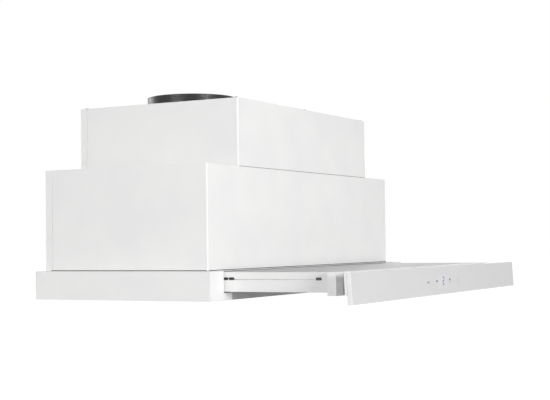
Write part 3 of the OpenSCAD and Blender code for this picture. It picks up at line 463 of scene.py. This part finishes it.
def turned(name, profile, centre, axis="Z", steps=64, closed=True):
    """A turned shape: a ring of vertices drawn out from one (radius, height) of the profile to the next."""
    bpy.ops.object.select_all(action="DESELECT")
    radius, height = profile[0]
    bpy.ops.mesh.primitive_circle_add(vertices=steps, radius=mm(max(radius, AXIS_RADIUS)),
                                      location=(0, 0, mm(height)))
    piece = bpy.context.active_object
    piece.name = piece.data.name = name
    bpy.ops.object.transform_apply(location=True, rotation=False, scale=False)
    bpy.ops.object.mode_set(mode="EDIT")
    bpy.ops.mesh.select_mode(type="EDGE")
    bpy.ops.mesh.select_all(action="SELECT")
    course = list(profile[1:]) + ([profile[0]] if closed else [])
    for next_radius, next_height in course:
        bpy.ops.mesh.extrude_region_move()
        ratio = max(next_radius, AXIS_RADIUS) / max(radius, AXIS_RADIUS)
        bpy.ops.transform.resize(value=(ratio, ratio, 1), center_override=(0, 0, 0))
        bpy.ops.transform.translate(value=(0, 0, mm(next_height - height)))
        radius, height = next_radius, next_height
    # A ring on the axis is a point: it is 2 micrometres across, so it merges.
    close_piece(merge=MERGE_TURNED)
    turns = {"Z": (0, 0, 0), "X": (0, math.pi / 2, 0), "Y": (-math.pi / 2, 0, 0), "-Z": (math.pi, 0, 0)}
    piece.rotation_euler = turns[axis]
    piece.location = mm(*centre)
    bpy.ops.object.transform_apply(location=True, rotation=True, scale=False)
    return piece


def smooth(piece, degrees=35):
    """Shades the piece smooth up to an angle between faces."""
    bpy.ops.object.select_all(action="DESELECT")
    bpy.context.view_layer.objects.active = piece
    piece.select_set(True)
    bpy.ops.object.shade_smooth_by_angle(angle=math.radians(degrees))


def repeat(piece, count, step):
    """Rows of the piece, made by an array that is applied."""
    bpy.ops.object.select_all(action="DESELECT")
    bpy.context.view_layer.objects.active = piece
    piece.select_set(True)
    rows = piece.modifiers.new("rows", "ARRAY")
    rows.count = count
    rows.use_relative_offset = False
    rows.use_constant_offset = True
    rows.constant_offset_displace = mm(*step)
    bpy.ops.object.modifier_apply(modifier=rows.name)


def join(pieces, name):
    """One object of several."""
    bpy.ops.object.select_all(action="DESELECT")
    for piece in pieces:
        piece.select_set(True)
    bpy.context.view_layer.objects.active = pieces[0]
    bpy.ops.object.join()
    pieces[0].name = pieces[0].data.name = name
    return pieces[0]


def place_of(piece, matrix):
    """Moves the finished piece and puts the place in its mesh."""
    piece.matrix_world = matrix @ piece.matrix_world
    bpy.ops.object.select_all(action="DESELECT")
    bpy.context.view_layer.objects.active = piece
    piece.select_set(True)
    bpy.ops.object.transform_apply(location=True, rotation=True, scale=True)


def dress(piece, material, body, slot, *replaced):
    """Gives a piece its material and body, and hides the nodes that it stands for. The slot is not used."""
    if material is not None:
        piece.data.materials.clear()
        piece.data.materials.append(material)
    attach(piece, body)
    if replaced:
        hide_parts(*replaced)
    return piece


# ---- Duct collar ----

def duct_collar():
    """The collar with its foot flange, rounded rim and fine ribs that grip the duct."""
    foot = [(56.0, 0.0), (74.5, 0.0), (74.5, 1.9), (73.9, 2.5), (64.0, 2.5), (62.9, 2.9), (62.5, 3.6)]
    ribs = []
    for z in (7.0, 9.4, 11.8):
        ribs += [(62.1, z - 0.6), (62.5, z - 0.3), (62.5, z + 0.3), (62.1, z + 0.6)]
    rim = [(62.1, 13.6), (62.5, 13.9), (62.5, 14.6), (62.1, 15.0), (60.4, 15.0), (60.0, 14.6)]
    ledge = [(60.0, 3.95), (56.0, 3.95)]
    collar = turned("duct_collar_ring", foot + [(62.1, 4.2)] + ribs + rim + ledge, COLLAR_AT, steps=128)
    smooth(collar, 30)
    dress(collar, BLACK_ABS, "hood_body", "black_plastic", "duct_collar")


# ---- Grease filters ----

def softened(node, width, material, body, slot, degrees=40):
    """A copy of a frame's node with its sharp edges rounded, which stands for the node."""
    mesh = frame["nodes"][node].data.copy()
    piece = bpy.data.objects.new(node + "_folded", mesh)
    bpy.context.collection.objects.link(piece)
    open_piece(piece)
    bpy.ops.mesh.select_all(action="SELECT")
    bpy.ops.mesh.remove_doubles(threshold=MERGE)
    bpy.ops.mesh.dissolve_limited(angle_limit=math.radians(2))
    bpy.ops.object.mode_set(mode="OBJECT")
    edges = piece.modifiers.new("edges", "BEVEL")
    edges.width = mm(width)
    edges.segments = 2
    edges.limit_method = "ANGLE"
    edges.angle_limit = math.radians(degrees)
    bpy.ops.object.modifier_apply(modifier=edges.name)
    smooth(piece, 30)
    return dress(piece, material, body, slot, node)


def copy_of(piece, name, step):
    """A copy with its own mesh, moved by the step in millimetres."""
    twin = bpy.data.objects.new(name, piece.data.copy())
    bpy.context.collection.objects.link(twin)
    twin.location = mm(*step)
    bpy.ops.object.select_all(action="DESELECT")
    bpy.context.view_layer.objects.active = twin
    twin.select_set(True)
    bpy.ops.object.transform_apply(location=True, rotation=False, scale=False)
    return twin


def mesh_layer(name, low, high, z, cell, strand):
    """One layer of expanded mesh: zigzag strands, each shifted by half a cell to meet its neighbour's peaks."""
    wide, tall = cell
    cells = math.ceil((high[0] - low[0]) / wide) + 1
    pairs = math.ceil((high[1] - low[1] + tall) / (2 * tall))
    bpy.ops.object.select_all(action="DESELECT")
    bpy.ops.mesh.primitive_plane_add(size=1, rotation=(0, math.pi / 2, 0),
                                     location=mm(low[0] - 0.75 * wide, low[1] - tall / 2, z))
    row = bpy.context.active_object
    row.name = row.data.name = name
    row.scale = mm(strand[1], strand[0], 1)
    bpy.ops.object.transform_apply(location=True, rotation=True, scale=True)
    bpy.ops.object.mode_set(mode="EDIT")
    bpy.ops.mesh.select_all(action="SELECT")
    for rise in (tall, -tall):
        bpy.ops.mesh.extrude_region_move(TRANSFORM_OT_translate={"value": tuple(mm(wide / 2, rise, 0))})
    pick_faces(row, lambda at, normal: abs(normal.x) > 0.99)
    bpy.ops.mesh.delete(type="ONLY_FACE")
    bpy.ops.object.mode_set(mode="OBJECT")
    repeat(row, cells, (wide, 0, 0))
    open_piece(row)
    bpy.ops.mesh.select_all(action="SELECT")
    bpy.ops.mesh.remove_doubles(threshold=MERGE)
    bpy.ops.mesh.fill_holes(sides=4)
    bpy.ops.mesh.normals_make_consistent(inside=False)
    bpy.ops.object.mode_set(mode="OBJECT")
    layer = join([row, copy_of(row, name + "_next", (wide / 2, tall, 0))], name)
    repeat(layer, pairs, (0, 2 * tall, 0))
    return layer


def trim(piece, low, high):
    """Cuts the piece off at the four upright sides of a box, and closes its open ends."""
    open_piece(piece)
    for place, way in ((low, (-1, 0, 0)), (high, (1, 0, 0)), (low, (0, -1, 0)), (high, (0, 1, 0))):
        bpy.ops.mesh.select_all(action="SELECT")
        bpy.ops.mesh.bisect(plane_co=mm(*place), plane_no=way, clear_outer=True, use_fill=True)
    bpy.ops.mesh.select_all(action="SELECT")
    bpy.ops.mesh.fill_holes(sides=0)
    bpy.ops.mesh.normals_make_consistent(inside=False)
    bpy.ops.object.mode_set(mode="OBJECT")


def filter_cassette(frame_node, mesh_node, body):
    """A cassette: its folded rim, three layers of expanded mesh and the tray that its latch slides in."""
    low, high = (Vector(corner) * 1000 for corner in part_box(mesh_node))
    middle = (low.x + high.x) / 2
    z0 = low.z - 1.2
    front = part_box(frame_node)[0][1] * 1000
    layers = [mesh_layer(mesh_node + "_outer", low, high, z0 + 1.5, COARSE_CELL, COARSE_STRAND),
              mesh_layer(mesh_node + "_middle", low, high, z0 + 4.0, FINE_CELL, FINE_STRAND),
              mesh_layer(mesh_node + "_inner", low, high, z0 + 6.5, COARSE_CELL, COARSE_STRAND)]
    pad = join(layers, mesh_node + "_strands")
    open_piece(pad)
    bpy.ops.mesh.select_mode(type="VERT")
    strands = bmesh.from_edit_mesh(pad.data)
    for point in strands.verts:
        at = point.co * 1000
        inside = abs(at.x - middle) < LATCH_TRAY and at.y < front + LATCH_DEPTH and at.z < z0 + 5.6
        point.select_set(inside)
    bmesh.update_edit_mesh(pad.data)
    bpy.ops.mesh.delete(type="VERT")
    bpy.ops.object.mode_set(mode="OBJECT")
    trim(pad, low, high)
    dress(pad, STRANDS, body, "filter_aluminium", mesh_node)
    softened(frame_node, 0.7, ALUMINIUM, body, "filter_aluminium")
    tray = [block("tray_left", (middle - 27, low.y - 1, z0 + 0.5), (middle - 21.7, front + 27, z0 + 1.1)),
            block("tray_right", (middle + 21.7, low.y - 1, z0 + 0.5), (middle + 27, front + 27, z0 + 1.1)),
            block("tray_rear", (middle - 21.8, front + 22.3, z0 + 0.5), (middle + 21.8, front + 27, z0 + 1.1)),
            block("tray_wall_left", (middle - 22.6, low.y - 1, z0 + 0.6), (middle - 21.8, front + 23, z0 + 6)),
            block("tray_wall_right", (middle + 21.8, low.y - 1, z0 + 0.6), (middle + 22.6, front + 23, z0 + 6)),
            block("tray_wall_rear", (middle - 22, front + 22.3, z0 + 0.6), (middle + 22, front + 23.1, z0 + 6)),
            block("tray_top", (middle - 22.6, low.y - 1, z0 + 5.3), (middle + 22.6, front + 23, z0 + 6))]
    dress(join(tray, mesh_node + "_latch_tray"), ALUMINIUM, body, "filter_aluminium")


def latch_grip(node, body):
    """Three fine ridges beside the latch's finger recess, and a rounded lip behind it."""
    low, high = (Vector(corner) * 1000 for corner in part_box(node))
    middle = (low.x + high.x) / 2
    under = low.z
    ridge = block(node + "_ridges", (middle - 11, low.y + 16.6, under - 0.35),
                  (middle + 11, low.y + 17.0, under + 0.3))
    repeat(ridge, 3, (0, 0.9, 0))
    lip = block(node + "_lip", (middle - 13, low.y + 15.3, under - 0.6), (middle + 13, low.y + 16.3, under + 0.4),
                bevel=0.3)
    dress(join([ridge, lip], node + "_grip"), BLACK_ABS, body, "black_plastic")


# ---- Lamps, gland and screws ----

def lamp_unit(side):
    """A flat lamp: a chromed ring that slopes in to a milky lens with a raised step at its edge."""
    bezel, lens = "lamp_bezel_" + side, "lamp_lens_" + side
    low, high = (Vector(corner) * 1000 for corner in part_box(bezel))
    centre = ((low.x + high.x) / 2, (low.y + high.y) / 2, 0.0)
    outer = (high.x - low.x) / 2
    body_r = outer - 4
    glass_r = outer - 9
    sheet = low.z + 1.5
    ring = turned(bezel + "_turned", [
        (glass_r - 0.4, sheet - 0.6), (glass_r + 0.5, sheet - 1.3), (glass_r + 1.2, sheet - 1.5),
        (outer - 0.9, sheet - 1.5), (outer - 0.2, sheet - 1.2), (outer, sheet - 0.6), (outer, sheet - 0.02),
        (body_r, sheet - 0.02), (body_r, sheet + 7.4), (body_r - 0.6, sheet + 8.0), (glass_r - 0.4, sheet + 8.0)],
        centre, steps=72)
    smooth(ring, 30)
    dress(ring, CHROME, "hood_body", "chrome_trim", bezel)
    disc = turned(lens + "_turned", [
        (0.0, sheet - 1.0), (glass_r - 6, sheet - 0.98), (glass_r - 2.4, sheet - 0.85), (glass_r - 1.7, sheet - 0.4),
        (glass_r, sheet - 0.4), (glass_r, sheet + 1.0), (0.0, sheet + 1.0)], centre, steps=72, closed=False)
    smooth(disc, 30)
    dress(disc, LENS, "hood_body", "frosted_lens", lens)


def cable_gland():
    """The gland in the step: a flange, a fluted clamping nut and a lock nut below the sheet."""
    low, high = (Vector(corner) * 1000 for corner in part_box("cable_gland"))
    centre = ((low.x + high.x) / 2, (low.y + high.y) / 2, 0.0)
    outer = (high.x - low.x) / 2
    top = high.z
    neck = turned("gland_neck", [
        (4.0, low.z), (outer - 3, low.z), (outer - 3, top - 12), (outer - 0.6, top - 12), (outer, top - 11.5),
        (outer, top - 10), (outer - 1, top - 9), (outer - 4, top - 9), (outer - 4, top - 7.6),
        (outer - 3.2, top - 7.2), (outer - 3.2, top - 2.2), (outer - 4.6, top - 0.5), (outer - 5.4, top),
        (4.0, top)], centre, steps=48)
    smooth(neck, 30)
    nut = turned("gland_lock_nut", [(outer - 3.2, low.z + 0.2), (outer - 0.8, low.z + 0.2), (outer, low.z + 0.9),
                                    (outer, low.z + 5.0), (outer - 0.6, low.z + 5.6), (outer - 3.2, low.z + 5.6)],
                 centre, steps=6)
    flute = block("gland_flute", (centre[0] - 0.5, centre[1] + outer - 3.5, top - 6.8),
                  (centre[0] + 0.5, centre[1] + outer - 2.7, top - 2.6), bevel=0.2, segments=1)
    flutes = [flute]
    for i in range(1, 12):
        twin = copy_of(flute, "gland_flute_%d" % i, (0, 0, 0))
        turn = Matrix.Translation(mm(*centre)) @ Matrix.Rotation(i * math.pi / 6, 4, "Z") \
            @ Matrix.Translation(-mm(*centre))
        place_of(twin, turn)
        flutes.append(twin)
    dress(join([neck, nut] + flutes, "gland_turned"), BLACK_ABS, "hood_body", "black_plastic", "cable_gland")


def screws():
    """Pan head screws with a cross recess, in the places of the frame's screws."""
    group = frame["nodes"]["casing_screws"].data
    points = [v.co * 1000 for v in group.vertices]
    tops = {}
    for at in points:
        key = next((k for k in tops if (Vector(k) - at.to_2d()).length < 8), None)
        if key is None:
            tops[tuple(at.to_2d())] = [at]
        else:
            tops[key].append(at)
    head = turned("screw_head", [(0.0, 0.0), (3.1, 0.0), (3.2, 0.25), (2.9, 1.0), (2.1, 1.5), (0.0, 1.62)],
                  (0, 0, 0), steps=32, closed=False)
    cross = join([block("slot_a", (-1.9, -0.4, 0.75), (1.9, 0.4, 2.5)),
                  block("slot_b", (-0.4, -1.9, 0.75), (0.4, 1.9, 2.5))], "screw_cross")
    cut = head.modifiers.new("recess", "BOOLEAN")
    cut.object = cross
    cut.operation = "DIFFERENCE"
    cut.solver = "EXACT"
    cut.use_self = True
    bpy.ops.object.select_all(action="DESELECT")
    bpy.context.view_layer.objects.active = head
    head.select_set(True)
    bpy.ops.object.modifier_apply(modifier="recess")
    bpy.data.objects.remove(cross)
    thread = [(r, z + i * 0.55) for i in range(9) for r, z in ((1.15, -5.0), (1.5, -4.75))]
    shank = turned("screw_shank", [(0.0, -5.6), (0.8, -5.2)] + thread + [(1.5, 0.1), (0.0, 0.1)],
        (0, 0, 0), steps=16, closed=False)
    screw = join([head, shank], "screw_model")
    copies = []
    for places in tops.values():
        low = Vector([min(p[i] for p in places) for i in range(3)])
        high = Vector([max(p[i] for p in places) for i in range(3)])
        middle = (low + high) / 2
        copies.append(copy_of(screw, "screw_%d" % len(copies), (middle.x, middle.y, high.z - 1.6)))
    bpy.data.objects.remove(screw)
    group_piece = join(copies, "casing_screws_turned")
    smooth(group_piece, 30)
    dress(group_piece, ZINC, "hood_body", "plated_screws", "casing_screws")


def weld_marks():
    """Spot welds down the back panels' side flanges: a shallow ring with a pressed middle, 5 mm across."""
    mark = turned("weld_mark", [(0.0, 0.03), (1.5, 0.03), (1.9, 0.12), (2.3, 0.12), (2.7, -0.1), (0.0, -0.1)],
                  (0, 0, 0), axis="X", steps=24, closed=False)
    marks = []
    for node in ("middle_back_panel", "upper_back_panel"):
        low, high = (Vector(corner) * 1000 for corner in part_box(node))
        rows = 5 if node == "middle_back_panel" else 3
        for i in range(rows):
            z = low.z + 15 + i * (high.z - low.z - 30) / (rows - 1)
            for side, turn in ((high.x, 0.0), (low.x, math.pi)):
                twin = copy_of(mark, "weld_mark_%d" % len(marks), (0, 0, 0))
                place_of(twin, Matrix.Translation(mm(side, low.y + 5.5, z)) @ Matrix.Rotation(turn, 4, "Z"))
                marks.append(twin)
    bpy.data.objects.remove(mark)
    welds = join(marks, "weld_marks")
    smooth(welds, 30)
    dress(welds, WHITE, "hood_body", "white_painted_steel")


def casing_shadow_strips():
    """Narrow dark foam strips that paint shade as dark lines: the shadow gap where the casing stands on the deck, and
    the one where the upper casing stands on the middle one."""
    out = 0.25
    strips = []
    for node, below, above in (("middle_casing", -0.05, 0.9), ("upper_casing", 0.25, 0.25)):
        low, high = (Vector(corner) * 1000 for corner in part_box(node))
        foot, top = low.z - below, low.z + above
        strips += [
            block(node + "_shadow_strip_front", (low.x + 2, low.y - out, foot), (high.x - 2, low.y + 0.4, top), bevel=0.1),
            block(node + "_shadow_strip_left", (low.x - out, low.y + 2, foot), (low.x + 0.4, high.y - 8, top), bevel=0.1),
            block(node + "_shadow_strip_right", (high.x - 0.4, low.y + 2, foot), (high.x + out, high.y - 8, top), bevel=0.1)]
    dress(join(strips, "casing_shadow_strips"), SHADOW_FOAM, "hood_body", "black_plastic")


def flap_ribs():
    """Ribs on the non-return flaps."""
    for node, body, way in (("flap_front", "front_flap", -1), ("flap_rear", "rear_flap", 1)):
        low, high = (Vector(corner) * 1000 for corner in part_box(node))
        reach = max(abs(low.y), abs(high.y))
        ribs = []
        for x in (-34, -17, 0, 17, 34):
            far = math.sqrt(max(reach ** 2 - x ** 2, 0)) - 6
            ends = sorted((way * 9, way * far))
            ribs.append(block(node + "_rib", (COLLAR_AT[0] + x - 0.6, ends[0], 230.4),
                              (COLLAR_AT[0] + x + 0.6, ends[1], 231.9), bevel=0.3, segments=1))
        dress(join(ribs, node + "_ribs"), GREY_ABS, body, "grey_plastic")


# ---- Glass front ----

def front_place():
    """The leaning front's own frame: back of the carrier at y 0, top edge at z 0."""
    return Matrix.Translation(mm(*FRONT_HINGE)) @ Matrix.Rotation(-GLASS_LEAN, 4, "X")


def front_glass():
    """The glass with ground, bevelled edges, and the paint's dark line at the back of its ends."""
    pane = block("glass_pane", (-GLASS_HALF_WIDTH, GLASS_FACE, -GLASS_HEIGHT), (GLASS_HALF_WIDTH, GLASS_BACK, 0))
    open_piece(pane)
    pick_edges(pane, lambda at, way: at.y < GLASS_FACE + 0.1)
    bpy.ops.mesh.bevel(offset=mm(0.9), segments=2, affect="EDGES")
    pick_edges(pane, lambda at, way: at.y > GLASS_BACK - 0.1)
    bpy.ops.mesh.bevel(offset=mm(0.5), segments=1, affect="EDGES")
    close_piece()
    for material in (GLASS, GLASS_EDGE, PAINT_LINE):
        pane.data.materials.append(material)
    for face in pane.data.polygons:
        at = face.center * 1000
        if at.y > GLASS_BACK - 0.6 and abs(face.normal.y) < 0.95:
            face.material_index = 2
        elif face.normal.y > -0.9:
            face.material_index = 1
    place_of(pane, front_place())
    dress(pane, None, "drawer", "white_backed_glass", "front_glass")


def touch_signs():
    """The signs on the glass: a key for the timer, less, the speed's digit, more, and the lamp's key."""
    def bar(name, x, z, w, h):
        return block(name, (x - w / 2, GLASS_FACE - 0.04, SIGN_Z + z - h / 2),
                     (x + w / 2, GLASS_FACE + 0.02, SIGN_Z + z + h / 2))
    eye = turned("timer_eye", [(0.0, 0.0), (1.6, 0.0), (1.6, 0.06), (0.0, 0.06)],
                 (-61.5, GLASS_FACE - 0.04, SIGN_Z - 0.9), axis="Y", steps=32, closed=False)
    timer = join([eye, bar("timer_left", -64.4, -0.9, 2.0, 1.8), bar("timer_right", -58.6, -0.9, 2.0, 1.8)],
                 "timer_sign")
    less = join([bar("less_across", -30.2, -0.3, 6.4, 1.8), bar("less_dot", -30.2, -0.3, 2.2, 3.0)], "less_sign")
    digit = [bar("digit_top", -5.6, 4.2, 5.6, 1.8), bar("digit_middle", -6.0, -0.5, 5.4, 1.8),
             bar("digit_foot", -6.4, -5.2, 5.6, 1.8), bar("digit_right", -3.4, 1.8, 1.4, 3.2),
             bar("digit_left", -8.6, -2.9, 1.4, 3.2)]
    speed = join(digit, "speed_sign")
    more = join([bar("more_across", 18.0, 0.6, 6.4, 1.8), bar("more_up", 18.0, -0.8, 1.6, 6.4)], "more_sign")
    bulb = turned("lamp_sign_ring", [(1.7, 0.0), (2.5, 0.0), (2.5, 0.06), (1.7, 0.06)],
                  (50.5, GLASS_FACE - 0.04, SIGN_Z - 0.4), axis="Y", steps=40)
    light_key = join([bulb, bar("lamp_sign_foot", 50.5, -3.6, 2.2, 0.7), bar("lamp_sign_base", 50.5, -4.7, 1.6, 0.7)],
                     "lamp_sign")
    for sign, material in ((timer, SIGN_GREY), (less, SIGN_VIOLET), (speed, SIGN_VIOLET), (more, SIGN_VIOLET),
                           (light_key, SIGN_FAINT)):
        place_of(sign, front_place())
        dress(sign, material, "drawer", "white_backed_glass")


# ---- Studio ----

def camera():
    """The photograph's viewing angle."""
    yaw, pitch, roll = (math.radians(a) for a in (CAMERA_YAW, CAMERA_PITCH, CAMERA_ROLL))
    ahead = Vector((math.sin(yaw) * math.cos(pitch), math.cos(yaw) * math.cos(pitch), math.sin(pitch)))
    level = Vector((math.cos(yaw), -math.sin(yaw), 0))
    upright = level.cross(ahead)
    right = math.cos(roll) * level + math.sin(roll) * upright
    up = -math.sin(roll) * level + math.cos(roll) * upright
    data = bpy.data.cameras.new("photo_camera")
    data.lens = CAMERA_LENS
    data.sensor_width = 36.0
    data.clip_end = 100.0
    eye = bpy.data.objects.new("photo_camera", data)
    turn = Matrix((right, up, -ahead)).transposed().to_4x4()
    eye.matrix_world = Matrix.Translation(mm(*CAMERA_AT)) @ turn
    bpy.context.collection.objects.link(eye)
    bpy.context.scene.camera = eye


def seen_rays(tree):
    """One for the rays that a camera, a mirror or a glass sends out, and nought for those that only light."""
    path = add(tree, "ShaderNodeLightPath")
    seen = add(tree, "ShaderNodeMath", {0: path.outputs["Is Camera Ray"], 1: path.outputs["Is Glossy Ray"]},
               operation="MAXIMUM")
    return add(tree, "ShaderNodeMath", {0: seen.outputs[0], 1: path.outputs["Is Transmission Ray"]},
               operation="MAXIMUM").outputs[0]


def world():
    """An even pale light all round, and plain white where it is seen."""
    sky = bpy.data.worlds.new("studio_world")
    sky.use_nodes = True
    tree = sky.node_tree
    tree.nodes.clear()
    light = add(tree, "ShaderNodeBackground", {"Color": linear("#FFFFFF"), "Strength": WORLD_LIGHT})
    white = add(tree, "ShaderNodeBackground", {"Color": linear("#FFFFFF"), "Strength": 1.0})
    mixed = add(tree, "ShaderNodeMixShader", {0: seen_rays(tree), 1: light.outputs[0], 2: white.outputs[0]})
    add(tree, "ShaderNodeOutputWorld", {"Surface": mixed.outputs[0]})
    bpy.context.scene.world = sky


def floor():
    """A plain white floor below the hood, which keeps its shadow: where no shadow falls, its own light and
    a little added for the eye come to white."""
    bpy.ops.object.select_all(action="DESELECT")
    bpy.ops.mesh.primitive_plane_add(size=60, location=(0, 0, mm(FLOOR_Z)))
    plane = bpy.context.active_object
    plane.name = "studio_floor"
    material, tree, skin, grid = begin_material("matt_white_floor", Roughness=0.9, Specular_IOR_Level=0.1)
    two_tones(tree, skin, noise(tree, grid, 400), "#B2B2B2", "#B5B5B5")
    # The lamps fall off with the distance from the hood, in millimetres, and the added light makes up for it.
    away = add(tree, "ShaderNodeVectorMath", {0: grid}, operation="LENGTH").outputs["Value"]
    added = spread(tree, away, 0.5, 0.85, 1000, 3500)
    lift = add(tree, "ShaderNodeMath", {0: seen_rays(tree), 1: added}, operation="MULTIPLY")
    skin.inputs["Emission Color"].default_value = linear("#FFFFFF")
    tree.links.new(lift.outputs[0], skin.inputs["Emission Strength"])
    # Seen from below the floor is clear, so that the underside can be looked at.
    below = add(tree, "ShaderNodeNewGeometry").outputs["Backfacing"]
    clear = add(tree, "ShaderNodeBsdfTransparent").outputs[0]
    shown = add(tree, "ShaderNodeMixShader", {0: below, 1: skin.outputs["BSDF"], 2: clear})
    end = next(node for node in tree.nodes if node.type == "OUTPUT_MATERIAL")
    tree.links.new(shown.outputs[0], end.inputs["Surface"])
    plane.data.materials.append(material)


def lamp(name, at, towards, size, watts, mirrored=True):
    """A soft lamp that points at a place, and isn't seen itself, nor in glossy skins unless it is mirrored."""
    data = bpy.data.lights.new(name, "AREA")
    data.shape = "RECTANGLE"
    data.size, data.size_y = size
    data.energy = watts
    item = bpy.data.objects.new(name, data)
    item.location = at
    item.rotation_euler = (Vector(towards) - Vector(at)).to_track_quat("-Z", "Y").to_euler()
    item.visible_camera = False
    item.visible_glossy = mirrored
    bpy.context.collection.objects.link(item)


def lamps():
    """A softbox in front to the left, a harder lamp behind to the right that lays the casing's shadow on
    the drawer, and weak fills from behind and from the left."""
    lamp("front_softbox", (-1.0, -2.36, 0.25), (0, 0, 0.0), (0.8, 0.8), 39)
    lamp("rear_right_lamp", (2.7, 0.65, 0.96), (0, -0.1, 0.0), (0.55, 0.55), 80, mirrored=False)
    lamp("rear_fill", (0.5, 3.2, 0.7), (0, 0, 0.1), (1.2, 1.2), 30)
    lamp("left_fill", (-3.0, 0.3, 0.5), (0, 0, 0.0), (1.2, 1.2), 30)


camera()
world()
floor()
lamps()
finish_nodes()
duct_collar()
for part, carrier in (("filter_frame_left", "filter_left"), ("filter_frame_right", "filter_right"),
                      ("drawer_filter_frame", "drawer_filter")):
    filter_cassette(part, part.replace("frame", "mesh"), carrier)
for part, carrier in (("filter_latch_left", "latch_left"), ("filter_latch_right", "latch_right"),
                      ("drawer_filter_latch", "drawer_latch")):
    latch_grip(part, carrier)
lamp_unit("left")
lamp_unit("right")
cable_gland()
screws()
weld_marks()
casing_shadow_strips()
flap_ribs()
front_glass()
touch_signs()
bpy.context.scene.view_settings.view_transform = "Standard"
